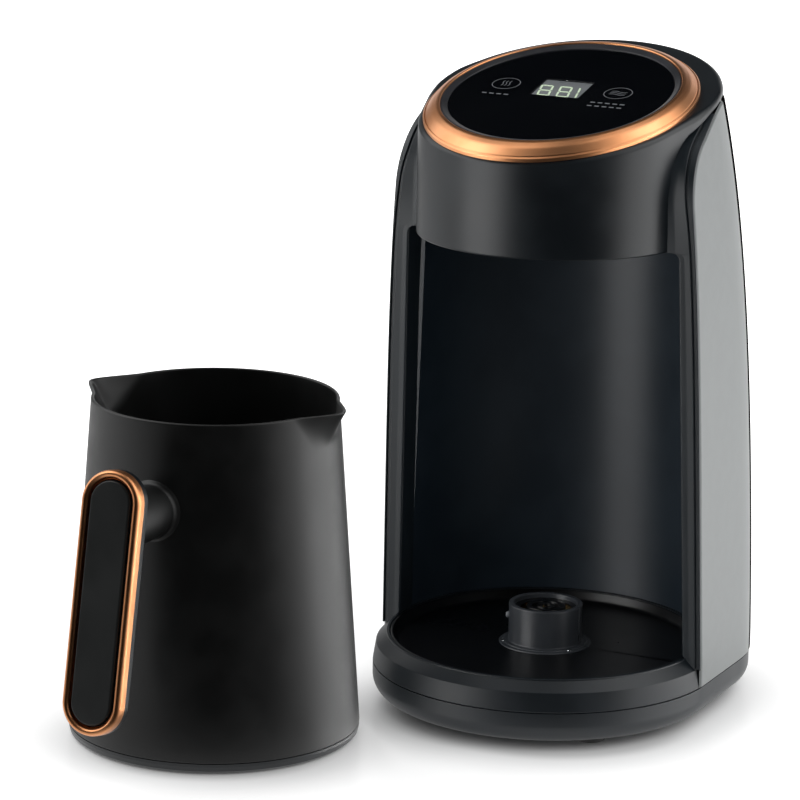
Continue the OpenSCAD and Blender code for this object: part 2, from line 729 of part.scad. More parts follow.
// the pot bay's space, grown by d
module bay_shape(d, z0, z1) {
    r0 = liner_r_at(z0) + d;
    r1 = liner_r_at(z1) + d;
    translate([0, 0, z0]) cylinder(r1 = r0, r2 = r1, h = z1 - z0);
    translate([0, 0, z0]) rotate([90, 0, 0])
        linear_extrude(40) polygon([[-r0, 0], [r0, 0], [r1, z1 - z0], [-r1, z1 - z0]]);
}

module cavity_liner() {
    color(liner_black) difference() {
        union() {
            difference() {
                bay_shape(liner_t, rim_z + 0.1, bay_top_z);
                // open front, just behind the columns' front line
                translate([-far / 2, -far, 0]) cube([far, far + front_foot_y + 1.5, far]);
                // clear of the columns
                for (s = [0, 1]) mirror([s, 0, 0])
                    translate([liner_r_at(rim_z) - column_in - 5.5, front_head_y - 5, 0])
                        cube([20, front_foot_y - front_head_y + column_d + 5.9, far]);
            }
            for (p = rear_screw_at) translate([p[0], 40, p[1]]) rotate([-90, 0, 0])
                cylinder(r = rear_post_r,
                         h = back_y(abs(p[0]) + rear_post_r, p[1]) - skin_t - post_short - 40);
            for (p = power_screw_at) translate([p[0], 40, p[1]]) rotate([-90, 0, 0])
                cylinder(r = 3, h = board_y - 40);
        }
        bay_shape(0, rim_z - 1, bay_top_z + 1);
        for (p = rear_screw_at) translate([p[0], liner_r_at(p[1]) + 4, p[1]]) rotate([-90, 0, 0])
            cylinder(r = pilot_r, h = far);
        for (p = power_screw_at) translate([p[0], board_y - 7, p[1]]) rotate([-90, 0, 0])
            cylinder(r = pilot_r, h = far);
    }
}

// plan of the head, drawn in by d
module head_plan(d) {
    c = cos(tangent_a);
    s = sin(tangent_a);
    front_r = drum_r - d - side_sink;
    rear_r = crown_r - d - side_sink;
    circle(drum_r - d);
    translate([0, crown_y]) circle(crown_r - d);
    polygon([[front_r * c, -front_r * s], [rear_r * c, crown_y - rear_r * s],
             [-rear_r * c, crown_y - rear_r * s], [-front_r * c, -front_r * s]]);
}

// side view of the head as [y, z]: it clears the arms, then its lip follows the sloping top
function head_side_at(z) =
    let (t = front_turn(z), lift = lift_at(z) + seam_gap + 0.1, y = front_y(z) - lift * cos(t))
    [y, min(z + lift * sin(t), lip_z(y))];
head_side = concat(
    [[-far / 4, bay_top_z], [front_head_y - seam_gap - 0.1, bay_top_z]],
    [for (k = [0 : 8]) head_side_at(arm_z + arm_r * sin(k * arm_turn / 8))],
    [for (k = [1 : 6]) head_side_at(bend_end_z + k * (frame_tip_z - bend_end_z) / 6)],
    [[lip_end_y, lip_z(lip_end_y)], [far / 4, lip_z(lip_end_y)],
     [far / 4, face_top(far / 4)], [-far / 4, face_top(-far / 4)]]);

module across(outline) {
    translate([-far / 2, 0, 0]) rotate([90, 0, 90]) linear_extrude(far) polygon(outline);
}

module head_shell() {
    color(satin_black) difference() {
        union() {
            difference() {
                intersection() {
                    translate([0, 0, bay_top_z - 2]) linear_extrude(far) head_plan(0);
                    across(head_side);
                }
                intersection() {
                    translate([0, 0, bay_top_z - 4]) linear_extrude(far) head_plan(head_wall);
                    across([[-far / 4, 0], [far / 4, 0], [far / 4, face_top(far / 4) - head_wall],
                            [-far / 4, face_top(-far / 4) - head_wall]]);
                }
            }
            for (p = head_post_at) translate([p[0], p[1], ceiling_z + ceiling_t + fit])
                cylinder(r = 3.4, h = face_top(p[1]) - 1.4 - ceiling_z - ceiling_t - fit);
            on_face() for (s = [-1, 1]) for (v = [-1, 1])
                translate([s * board_screw_x, v * board_screw_v, board_h + fit])
                    cylinder(r = 2.6, h = -board_h - 1);
        }
        on_face() oval_plate(opening_in, -10, 20);
        for (p = head_post_at) translate([p[0], p[1], 0]) cylinder(r = pilot_r, h = ceiling_z + 20);
        on_face() for (s = [-1, 1]) for (v = [-1, 1])
            translate([s * board_screw_x, v * board_screw_v, board_h - 1]) cylinder(r = 1, h = 4.4);
    }
}

module head_underside() {
    arm_front = front_head_y - 0.8;
    arm_back = front_y(bay_top_z) + column_d + 0.5;
    color(liner_black) translate([0, 0, ceiling_z]) difference() {
        linear_extrude(ceiling_t) difference() {
            union() {
                circle(drum_r - head_wall - fit * 2);
                intersection() {
                    circle(liner_top_r + liner_t - 0.2);
                    translate([-far / 2, arm_back]) square(far);
                }
            }
            for (s = [0, 1]) mirror([s, 0])
                translate([arm_in - 0.3, arm_front]) square([far, arm_back - arm_front]);
        }
        translate([0, sensor_y, -1]) cylinder(r = 6, h = far);
        for (p = head_post_at) translate([p[0], p[1], -1]) cylinder(r = screw_r + 0.2, h = far);
    }
}

module underside_screws() {
    color(steel) for (p = head_post_at) translate([p[0], p[1], ceiling_z - screw_head_h]) screw(14);
}

module sensor_window() {
    color(gloss_black) translate([0, sensor_y, ceiling_z]) {
        cylinder(r = 5.9, h = ceiling_t);
        translate([0, 0, ceiling_t]) cylinder(r = 8, h = 0.8);
    }
}

module overflow_sensor() {
    color(board_green) translate([-9, sensor_y - 9, ceiling_z + ceiling_t + 0.9]) cube([18, 18, 1.6]);
    color(part_grey) translate([-4.5, sensor_y - 4, ceiling_z + ceiling_t + 2.5]) cube([9, 8, 4]);
}

// ================= control face =================

module trim_ring() {
    color(copper) on_face() oval_ring([
        [0, 0.03], [0, 1], [0.2, 2.9], [0.5, 4.7], [0.8, 5.7], [0.95, ring_rise], [1, ring_rise - 0.2],
        [1, 0.03]]);
}

module bezel_ring() {
    color(part_grey) on_face() oval_ring([
        [bezel_in, 0.03], [bezel_in, ring_rise - 0.4], [bezel_in + 0.06, ring_rise - 0.3],
        [bezel_out, glass_h + 0.3], [bezel_out, ledge_h], [ledge_in, ledge_h], [ledge_in, 0.03]]);
}

// block of width w, length l and thickness t round the display's axis, from height h up
module on_display(h, w, l, t) {
    translate([display_u - w / 2, display_v - l / 2, h]) cube([w, l, t]);
}

module touch_glass() {
    color(gloss_black) on_face() difference() {
        oval_plate(bezel_out + 0.02, glass_h - glass_t, glass_t);
        on_display(glass_h - glass_t - 1, display_w + 2 * fit, display_l + 2 * fit, glass_t + 2);
    }
}

module display_window() {
    color(part_grey) on_face()
        on_display(glass_h - window_sink - window_t, display_w, display_l, window_t);
}

// leaning rectangle from one corner to the other
module segment(from, to) {
    polygon([for (p = [from, [to[0], from[1]], to, [from[0], to[1]]])
        [p[0] - digit_lean * p[1], p[1]]]);
}

// level segments of a numeral: top, middle and bottom
module level_segments() {
    reach = digit_w / 2 - stroke - stroke_gap / 2;
    for (k = [-1 : 1]) let (v = k * (digit_l - stroke) / 2)
        segment([-reach, v - stroke / 2], [reach, v + stroke / 2]);
}

// the two upright segments on side s of a numeral
module upright_segments(s) {
    u = s * (digit_w - stroke) / 2;
    for (k = [-1, 1])
        segment([u - stroke / 2, k * stroke_gap], [u + stroke / 2, k * (digit_l / 2 - stroke_gap)]);
}

module display_digits() {
    color(white_plastic) on_face()
        translate([display_u + digit_u, display_v + digit_v, glass_h - window_sink])
            linear_extrude(digit_t) {
                for (k = [-1, 0]) translate([k * digit_pitch, 0]) {
                    level_segments();
                    for (s = [-1, 1]) upright_segments(s);
                }
                translate([digit_pitch, 0]) upright_segments(-1);
            }
}

module display_housing() {
    color(part_grey) on_face()
        on_display(board_h, display_w - 2, display_l - 2, glass_h - window_sink - window_t - board_h);
}

module control_board() {
    color(board_green) on_face() difference() {
        translate([-board_half_w, -board_half_l, board_h - board_t])
            cube([2 * board_half_w, 2 * board_half_l, board_t]);
        for (s = [-1, 1]) for (v = [-1, 1])
            translate([s * board_screw_x, v * board_screw_v, board_h - board_t - 1])
                cylinder(r = board_hole_r, h = 4);
    }
}

module touch_springs() {
    color(steel) on_face() for (s = [-1, 1])
        translate([display_u + s * icon_u, display_v, board_h]) difference() {
            cylinder(r = icon_r, h = glass_h - glass_t - board_h);
            translate([0, 0, -1]) cylinder(r = icon_r - 0.8, h = far);
        }
}

module buzzer() {
    color(satin_black) on_face() translate([-30, 8, board_h - board_t - 6]) difference() {
        cylinder(r = 6, h = 6);
        translate([0, 0, -1]) cylinder(r = 1, h = 3);
    }
}

module board_screws() {
    color(steel) {
        on_face() for (s = [-1, 1]) for (v = [-1, 1])
            translate([s * board_screw_x, v * board_screw_v, board_h - board_t - board_screw_head[1]]) {
                cylinder(r = board_screw_head[0], h = board_screw_head[1]);
                cylinder(r = board_screw_r, h = 6);
            }
        for (p = power_screw_at) translate([p[0], board_top + board_screw_head[1], p[1]]) rotate([90, 0, 0]) {
            cylinder(r = board_screw_head[0], h = board_screw_head[1]);
            cylinder(r = board_screw_r, h = 7);
        }
    }
}

// ================= power electronics =================

module power_board() {
    color(board_green) difference() {
        translate([-power_board_w / 2, board_y, power_board_z])
            cube([power_board_w, board_t, power_board_h]);
        for (p = power_screw_at) translate([p[0], board_y - 1, p[1]]) rotate([-90, 0, 0])
            cylinder(r = board_hole_r, h = 5);
    }
}

module relay() {
    color(white_plastic) translate([-16, board_top, power_board_z + 14]) cube(relay_size);
}

module transformer() {
    translate([4, board_top, power_board_z + 44]) {
        color(part_grey) cube(transformer_size);
        color(brass) translate([2, 1, transformer_size[2]]) cube(winding_size);
    }
}

module capacitors() {
    color(satin_black) for (c = can_caps)
        translate([-12, board_top, power_board_z + c[2]]) rotate([-90, 0, 0])
            cylinder(r = c[0], h = c[1]);
    color(brass) translate([8, board_top, power_board_z + 16]) cube(film_cap_size);
}

module terminal_block() {
    color(white_plastic) translate([-terminal_size[0] / 2, board_top, power_board_z + 0.5])
        cube(terminal_size);
}

module upper_loom() {
    top_y = 50;
    color(rubber) wire([
        [6, board_top + 1.7, power_board_z + power_board_h - 2],
        [6, board_top + 1.7, bay_top_z + 12],
        [6, top_y, bay_top_z + 24],
        [6, 22, face_top(22) + (board_h - board_t) / cos(face_tilt) - 1.8]], 1.5);
}

module lower_loom() {
    color(rubber) for (s = [-1, 1]) wire([
        [s * 5, 0, housing_z - 1.1],
        [s * 5, 30, housing_z - 1.1],
        [s * loom_x, loom_y, housing_z - 1.1],
        [s * loom_x, loom_y, 50],
        [s * 10, board_top + 4, power_board_z - 1.3]], 1.1);
}

module mains_leads() {
    color(rubber) for (s = [-1, 1]) wire([
        [gland_x + s * 1.6, gland_in_y - lead_short, gland_z],
        [s * loom_x, loom_y + 2.6, gland_z + 2],
        [s * loom_x, loom_y + 2.6, 51],
        [s * 3, board_top + 6, power_board_z - 1.2]], 1);
}

// ================= pot =================

module at_pot() {
    translate([pot_x, pot_y, 0]) children();
}

module pot_solid(d, z0, z1) {
    translate([0, 0, z0]) cylinder(r1 = pot_r(z0) - d, r2 = pot_r(z1) - d, h = z1 - z0);
}

// beak of a spout: from the wall to its tip, sunk by d
module beak(d) {
    r = pot_r(pot_h) - 2;
    a = spout_half_a - d * 1.2;
    tip = spout_r - d * 1.2;
    low = pot_h - spout_drop + d;
    top = pot_h + (d > 0 ? 1 : 0);
    rl = pot_r(low) - d * 1.05;
    inner = pot_rim_r - 12;
    polyhedron(
        points = [
            [inner, -8, top], [r * cos(a), -r * sin(a), top], [tip, -0.6, top],
            [tip, 0.6, top], [r * cos(a), r * sin(a), top], [inner, 8, top],
            [rl, 0.6, low], [rl, -0.6, low], [inner, -4, low], [inner, 4, low]],
        faces = [
            [5, 4, 3, 2, 1, 0], [0, 1, 8], [1, 7, 8], [1, 2, 7], [2, 3, 6], [2, 6, 7],
            [3, 4, 6], [4, 9, 6], [4, 5, 9], [5, 0, 8], [5, 8, 9], [9, 8, 7], [9, 7, 6]]);
}

module pot_body() {
    color(satin_black) at_pot() difference() {
        union() {
            pot_solid(0, cap_seam_z, pot_h);
            for (s = [0, 1]) mirror([s, 0, 0]) beak(0);
        }
        pot_solid(pot_wall, pot_floor_z, pot_h + 1);
        translate([0, 0, -1]) pot_solid(pot_wall, cap_seam_z - 4, pot_floor_z - pot_wall + 1);
        for (s = [0, 1]) mirror([s, 0, 0]) difference() {
            beak(pot_wall);
            translate([0, 0, -1]) cylinder(r = pot_rim_r - 6, h = far);
        }
    }
    // welded stud of the handle
    color(steel) at_pot() translate([0, 0, neck_z]) rotate([90, 0, 0]) difference() {
        translate([0, 0, pot_r(neck_z) - 0.7]) cylinder(r = 4, h = 9);
        translate([0, 0, pot_r(neck_z) + 1.5]) cylinder(r = 1.6, h = far);
    }
}

module on_grip() {
    translate([0, -grip_y, grip_z]) rotate([90 - grip_lean, 0, 0]) children();
}

module stadium(w, l) {
    for (s = [-1, 1]) translate([0, s * (l - w) / 2]) circle(w / 2);
    square([w, l - w], center = true);
}

module handle_neck() {
    color(satin_black) at_pot() difference() {
        translate([0, 0, neck_z]) rotate([90, 0, 0]) difference() {
            union() {
                cylinder(r = neck_r, h = far);
                translate([0, 0, pot_r(neck_z) - neck_flare[1] / 2])
                    cylinder(r1 = neck_r + neck_flare[0], r2 = neck_r, h = neck_flare[1]);
            }
            translate([0, 0, -1]) cylinder(r = 4.1, h = pot_r(neck_z) + 9.5);
            cylinder(r = 1.9, h = far);
        }
        pot_solid(-0.05, cap_seam_z, pot_h);
        on_grip() translate([-far / 2, -far / 2, grip_back - 0.05]) cube(far);
    }
}

module handle_grip() {
    color(satin_black) at_pot() on_grip() difference() {
        union() {
            translate([0, 0, grip_back]) linear_extrude(grip_t - frame_t) stadium(grip_w, grip_l);
            translate([0, 0, grip_back]) linear_extrude(grip_t - 2)
                stadium(grip_w - 2 * frame_w - insert_gap, grip_l - 2 * frame_w - insert_gap);
        }
        translate([0, screw_v, screw_w]) rotate([grip_lean, 0, 0]) {
            cylinder(r = screw_head_r + 0.5, h = far);
            translate([0, 0, -5]) cylinder(r = 1.9, h = far);
        }
    }
}

module handle_frame() {
    color(copper) at_pot() on_grip() translate([0, 0, grip_back + grip_t - frame_t]) difference() {
        union() {
            linear_extrude(frame_t - 1) stadium(grip_w, grip_l);
            linear_extrude(frame_t) stadium(grip_w - 1.6, grip_l - 1.6);
        }
        translate([0, 0, -1]) linear_extrude(far)
            stadium(grip_w - 2 * frame_w, grip_l - 2 * frame_w);
    }
}

module handle_insert() {
    inset = 2 * (frame_w + insert_gap);
    color(gloss_black) at_pot() on_grip() translate([0, 0, grip_back + grip_t - 2])
        linear_extrude(2.2) stadium(grip_w - inset, grip_l - inset);
}

module handle_screw() {
    color(steel) at_pot() on_grip() translate([0, screw_v, screw_w]) rotate([grip_lean, 0, 0])
        translate([0, 0, 0.1]) {
            cylinder(r = screw_head_r, h = 2);
            translate([0, 0, -20]) cylinder(r = 1.5, h = 20 + eps);
        }
}

module heating_plate() {
    color(steel) at_pot() translate([0, 0, plate_z]) difference() {
        cylinder(r = plate_r, h = plate_t);
        for (a = socket_angles) rotate([0, 0, a]) translate([socket_screw_r, 0, -1])
            cylinder(r = pilot_r, h = 3);
    }
}

module heating_element() {
    color(part_grey) at_pot() translate([0, 0, plate_z - element_tube_r - 0.05]) {
        rotate([0, 0, 20]) rotate_extrude(angle = 320) translate([element_r, 0]) circle(element_tube_r);
        for (a = [20, 340]) rotate([0, 0, a]) translate([element_r, 0, -7]) cylinder(r = 1.5, h = 5);
    }
}

module temperature_probe() {
    color(steel) at_pot() translate([0, probe_y, plate_z - 4.05]) cylinder(r = probe_r, h = 4);
}

module thermal_fuse() {
    color(brass) at_pot() translate([-7, fuse_y, plate_z - 4.3]) rotate([0, 90, 0])
        translate([-fuse_r, 0, 0]) cylinder(r = fuse_r, h = 14);
}

module pot_socket() {
    color(satin_black) at_pot() difference() {
        union() {
            translate([0, 0, 1]) cylinder(r = socket_out_r, h = socket_top - 1);
            translate([0, 0, socket_top - socket_ear_t])
                cylinder(r = socket_ear_r, h = socket_ear_t);
        }
        translate([0, 0, -1]) cylinder(r = socket_r, h = socket_depth + 1);
        translate([0, 0, -1]) cylinder(r = mouth_r, h = mouth_h + 2);
        for (a = socket_angles) rotate([0, 0, a]) translate([socket_screw_r, 0, 0])
            cylinder(r = screw_r + 0.2, h = far);
    }
}

module pot_contacts() {
    outer_mid = (outer_slot[0] + outer_slot[1] - contact_t) / 2;
    inner_mid = (inner_slot[0] + inner_slot[1] + contact_t) / 2;
    color(brass) at_pot() for (r = [outer_mid, inner_mid])
        translate([0, 0, socket_depth - pot_contact_h]) difference() {
            cylinder(r = r + contact_t, h = pot_contact_h);
            translate([0, 0, -1]) cylinder(r = r - contact_t, h = far);
        }
}

module pot_centre_pin() {
    color(steel) at_pot() translate([0, 0, socket_depth - pot_contact_h])
        cylinder(r = pin_bore_r - contact_t - 0.2, h = pot_contact_h);
}

module base_cap() {
    edge = 2.6;          // size of the rounded lower edge
    cap_r = pot_r(cap_seam_z) - 0.1;
    cap_top = cap_seam_z - 0.3;
    color(satin_black) at_pot() difference() {
        union() {
            rotate_extrude() difference() {
                polygon([[0, 0], [pot_r(0) - edge, 0], [pot_r(0) - edge / 3, edge / 2],
                         [cap_r, edge * 1.2], [cap_r, cap_top], [0, cap_top]]);
                translate([0, cap_t]) square([pot_r(cap_seam_z) - 3.2, far]);
            }
            // ring that locates in the pot's wall
            translate([0, 0, cap_t]) difference() {
                cylinder(r = pot_r(12) - pot_wall - 0.6, h = 8);
                translate([0, 0, -1]) cylinder(r = pot_r(12) - pot_wall - 2.2, h = far);
            }
            for (p = cap_post_at) translate([p[0], p[1], 0]) cylinder(r = 4, h = 3.4);
        }
        translate([0, 0, -1]) cylinder(r = cap_hole_r, h = far);
        for (p = cap_post_at) translate([p[0], p[1], -1]) {
            cylinder(r = screw_r + 0.2, h = far);
            cylinder(r = screw_head_r + 0.3, h = 1 + screw_head_h + 0.2);
        }
    }
}

module base_seal() {
    color(silicone) at_pot() translate([0, 0, cap_seam_z - 0.25]) difference() {
        cylinder(r = pot_r(cap_seam_z) - pot_wall - 0.3, h = 0.9);
        translate([0, 0, -1]) cylinder(r = pot_r(cap_seam_z) - pot_wall - 1, h = far);
    }
}

module cap_screws() {
    color(steel) at_pot() {
        for (p = cap_post_at) translate([p[0], p[1], 0.15]) screw(plate_z - 0.15);
        for (a = socket_angles) rotate([0, 0, a])
            translate([socket_screw_r, 0, socket_top - socket_ear_t - screw_head_h])
                screw(screw_head_h + socket_ear_t + 1.6);
    }
}

// ================= drawing =================

rubber_feet();
bottom_pan();
pan_screws();
base_cover();
tray_dish();
cord_gland();
connector_housing();
connector_outer_contact();
connector_inner_contact();
connector_centre_contact();
connector_clamp();
clamp_screws();
presence_plunger();
plunger_spring();
front_frame();
side_panel_left();
side_panel_right();
rear_cover();
rear_screws();
cavity_liner();
head_shell();
head_underside();
underside_screws();
sensor_window();
overflow_sensor();
trim_ring();
bezel_ring();
touch_glass();
display_window();
display_digits();
display_housing();
control_board();
touch_springs();
buzzer();
board_screws();
power_board();
relay();
transformer();
capacitors();
terminal_block();
upper_loom();
lower_loom();
mains_leads();
pot_body();
handle_neck();
handle_grip();
handle_frame();
handle_insert();
handle_screw();
heating_plate();
heating_element();
temperature_probe();
thermal_fuse();
pot_socket();
pot_contacts();
pot_centre_pin();
base_cap();
base_seal();
cap_screws();
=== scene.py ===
"""Looks of an electric turkish coffee maker: tower, heated base and lift-off pot.

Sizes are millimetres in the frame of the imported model, with the front looking along -Y and the
connector's axis at the origin. Meshes are written in metres. Every new piece is a surface worked
out on a grid of two parameters, and every finish is a set of procedural shader nodes.
"""

import json
import logging
from dataclasses import dataclass, field
from enum import Enum
from math import cos, pi, radians, sin, tan
from typing import Callable, Sequence

import bmesh
import bpy
import numpy as np
from mathutils import Matrix, Vector
from mathutils.geometry import tessellate_polygon


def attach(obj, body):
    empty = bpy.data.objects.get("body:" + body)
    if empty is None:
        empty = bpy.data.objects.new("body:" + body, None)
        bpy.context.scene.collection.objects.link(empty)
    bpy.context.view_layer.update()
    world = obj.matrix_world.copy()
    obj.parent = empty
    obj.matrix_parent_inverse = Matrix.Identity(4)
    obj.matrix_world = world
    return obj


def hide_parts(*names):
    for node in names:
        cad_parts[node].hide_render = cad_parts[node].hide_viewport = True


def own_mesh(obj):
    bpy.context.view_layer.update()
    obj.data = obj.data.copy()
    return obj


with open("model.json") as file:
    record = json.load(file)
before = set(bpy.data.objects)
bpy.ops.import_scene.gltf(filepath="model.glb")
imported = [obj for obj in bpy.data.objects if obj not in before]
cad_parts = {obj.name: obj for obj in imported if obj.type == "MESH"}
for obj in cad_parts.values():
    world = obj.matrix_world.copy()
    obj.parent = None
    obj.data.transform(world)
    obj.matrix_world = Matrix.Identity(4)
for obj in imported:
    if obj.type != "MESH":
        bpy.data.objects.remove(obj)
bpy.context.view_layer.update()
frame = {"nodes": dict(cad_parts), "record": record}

Array = np.ndarray
Pair = tuple[float, float]
Triple = tuple[float, float, float]
Colour = tuple[float, float, float, float]
MM = 0.001
LOG = logging.getLogger("coffee_maker")


class Body(Enum):
    """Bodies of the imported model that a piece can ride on."""

    TOWER = "tower"
    POT = "pot"
    PLUNGER = "plunger"


# ---------------- shapes


def stack(*parts: Array) -> Array:
    """Joins coordinate arrays of any common shape into points, along a new last axis."""
    return np.stack(np.broadcast_arrays(*parts), axis=-1).astype(float)


def circle(steps: int) -> Array:
    """Even angles once round, from zero."""
    return np.linspace(0, 2 * pi, steps, endpoint=False)


def soften(corners: Array, radii: Sequence[float], steps: int = 4) -> Array:
    """Rounds the corners of closed outlines.

    Each corner gives way to an arc that touches both of its sides: a rational quadratic curve whose
    middle weight is the sine of half the corner's inner angle, which is exactly a circle's arc.

    Args:
        corners: points of shape (..., corners, dimensions).
        radii: one radius for each corner.
        steps: spans in each arc.

    Returns:
        Points of shape (..., corners * (steps + 1), dimensions).
    """
    back = np.roll(corners, 1, axis=-2) - corners
    ahead = np.roll(corners, -1, axis=-2) - corners
    back_l = np.linalg.norm(back, axis=-1, keepdims=True) + 1e-12
    ahead_l = np.linalg.norm(ahead, axis=-1, keepdims=True) + 1e-12
    back, ahead = back / back_l, ahead / ahead_l
    half = 0.5 * np.arccos(np.clip(np.sum(back * ahead, axis=-1, keepdims=True), -1 + 1e-9, 1 - 1e-9))
    reach = np.asarray(radii, float)[:, None] / np.tan(half)
    reach = np.minimum(reach, 0.48 * np.minimum(back_l, ahead_l))
    s = np.linspace(0, 1, steps + 1)[:, None]
    first, middle, last = (1 - s) ** 2, 2 * s * (1 - s), s**2
    weight = np.sin(half)[..., None, :] * middle
    corner = corners[..., None, :]
    arcs = first * (corner + (back * reach)[..., None, :]) + weight * corner
    arcs = (arcs + last * (corner + (ahead * reach)[..., None, :])) / (first + weight + last)
    return arcs.reshape(*corners.shape[:-2], -1, corners.shape[-1])


def knots(low: float, high: float, edge: float, count: int) -> Array:
    """Places along a line that crowd towards both ends.

    Args:
        low: first place.
        high: last place.
        edge: width of the crowded stretch at each end.
        count: number of even places between the two stretches.

    Returns:
        The places in rising order, denser where the distance to an end is below edge.
    """
    near = edge * (1 - np.cos(np.linspace(0, pi / 2, 6)))
    return np.unique(np.concatenate([low + near, np.linspace(low + edge, high - edge, count), high - near]))


class Skin:
    """Gathers grids and flat sheets of points and welds them into one closed mesh."""

    def __init__(self) -> None:
        """Starts with no points."""
        self.points: list[Array] = []
        self.faces: list[list[int]] = []
        self.size = 0

    def _take(self, points: Array) -> int:
        """Stores points.

        Args:
            points: positions of shape (..., 3).

        Returns:
            The number of the first of them.
        """
        start = self.size
        self.points.append(points.reshape(-1, 3))
        self.size += self.points[-1].shape[0]
        return start

    def grid(self, points: Array, ring_rows: bool = False, ring_cols: bool = False) -> "Skin":
        """Adds a grid of quads.

        Args:
            points: positions of shape (rows, columns, 3).
            ring_rows: joins the last row to the first.
            ring_cols: joins the last column to the first.

        Returns:
            The skin itself.
        """
        rows, cols = points.shape[:2]
        start = self._take(points)
        i = np.arange(rows if ring_rows else rows - 1)[:, None]
        j = np.arange(cols if ring_cols else cols - 1)[None, :]
        ring = [i * cols + j, i * cols + (j + 1) % cols, (i + 1) % rows * cols + (j + 1) % cols,
                (i + 1) % rows * cols + j]
        self.faces += (start + np.stack(np.broadcast_arrays(*ring), -1).reshape(-1, 4)).tolist()
        return self

    def sheet(self, *loops: Array) -> "Skin":
        """Fills a flat outline with triangles.

        Args:
            loops: the outline, and then any holes in it.

        Returns:
            The skin itself.
        """
        start = self._take(np.concatenate(loops))
        corners = [list(map(Vector, loop.tolist())) for loop in loops]
        self.faces += (start + np.array(tessellate_polygon(corners))).tolist()
        return self

    def shell(self, outer: Array, inner: Array) -> "Skin":
        """Adds a plate: two grids of the same shape and the strips that join their four borders.

        Args:
            outer: points of one face.
            inner: points of the other.

        Returns:
            The skin itself.
        """
        self.grid(outer).grid(inner)
        for row in (0, -1):
            self.grid(np.stack([outer[row], inner[row]]))
            self.grid(np.stack([outer[:, row], inner[:, row]]))
        return self

    def bar(self, points: Array) -> "Skin":
        """Adds a grid whose rows are closed loops, and fills the first and the last of them."""
        return self.grid(points, ring_cols=True).sheet(points[0]).sheet(points[-1])

    def piece(self, name: str, sharp: float = 38.0) -> bpy.types.Object:
        """Makes the mesh object.

        Args:
            name: name of the object.
            sharp: edges that turn by more than this many degrees are shaded as edges.

        Returns:
            The object, at the origin, with its doubles merged and its faces turned outwards.
        """
        mesh = bpy.data.meshes.new(name)
        mesh.from_pydata((np.concatenate(self.points) * MM).tolist(), [], self.faces)
        form = bmesh.new()
        form.from_mesh(mesh)
        bmesh.ops.remove_doubles(form, verts=form.verts, dist=2e-6)
        bmesh.ops.dissolve_degenerate(form, dist=1e-6, edges=form.edges)
        bmesh.ops.recalc_face_normals(form, faces=form.faces)
        form.to_mesh(mesh)
        form.free()
        mesh.shade_smooth()
        mesh.set_sharp_from_angle(angle=radians(sharp))
        piece = bpy.data.objects.new(name, mesh)
        bpy.context.scene.collection.objects.link(piece)
        even = piece.modifiers.new("even shading", "WEIGHTED_NORMAL")
        even.keep_sharp = True
        return piece


def turned(profile: Array, steps: int = 128) -> Array:
    """Carries a profile of [radius, height] round the Z axis: x is r cos a, y is r sin a.

    Args:
        profile: points of shape (rows, 2).
        steps: columns round the circle.

    Returns:
        A grid of shape (rows, steps, 3).
    """
    a = circle(steps)
    return stack(profile[:, :1] * np.cos(a), profile[:, :1] * np.sin(a), profile[:, 1:])


def lathe(corners: Sequence[Sequence[float]], radii: Sequence[float], steps: int = 128) -> Array:
    """Turns a closed section of [radius, height] corners, softened by radii, into a grid."""
    section = soften(np.array(corners, float), radii)
    return turned(np.vstack([section, section[:1]]), steps)


@dataclass(frozen=True)
class Outline:
    """A closed plan outline: points on it and the directions that point out of it."""

    points: Array
    normals: Array

    @staticmethod
    def stadium(width: float, length: float, steps: int = 96) -> "Outline":
        """Makes a slot shape: two half circles joined by straight sides.

        Args:
            width: size across.
            length: size along.
            steps: points round it.

        Returns:
            The outline.
        """
        a = circle(steps) + pi / steps
        normals = stack(np.cos(a), np.sin(a))
        middle = stack(0 * a, np.sign(np.sin(a)) * (length - width) / 2)
        return Outline(middle + normals * width / 2, normals)

    def carry(self, profile: Array) -> Array:
        """Carries a profile of [distance in from the outline, height] round it, as a grid."""
        flat = self.points[None] - profile[:, None, :1] * self.normals[None]
        return np.concatenate([flat, np.broadcast_to(profile[:, None, 1:], flat[..., :1].shape)], -1)


def placed(points: Array, origin: Sequence[float], tilt: float) -> Array:
    """Turns points about the X axis and moves them.

    Args:
        points: positions of shape (..., 3).
        origin: where their zero goes.
        tilt: angle in degrees.

    Returns:
        The new positions.
    """
    a = radians(tilt)
    x, y, z = points[..., 0], points[..., 1], points[..., 2]
    return stack(x, y * cos(a) - z * sin(a), y * sin(a) + z * cos(a)) + np.array(origin, float)


# ---------------- finishes


def linear(code: str) -> Colour:
    """Turns a colour code into linear light.

    Args:
        code: six digits, such as 2b2d2f.

    Returns:
        Red, green, blue and alpha.
    """
    c = np.array([int(code[k : k + 2], 16) for k in (0, 2, 4)]) / 255
    c = np.where(c <= 0.04045, c / 12.92, ((c + 0.055) / 1.055) ** 2.4)
    return (float(c[0]), float(c[1]), float(c[2]), 1.0)


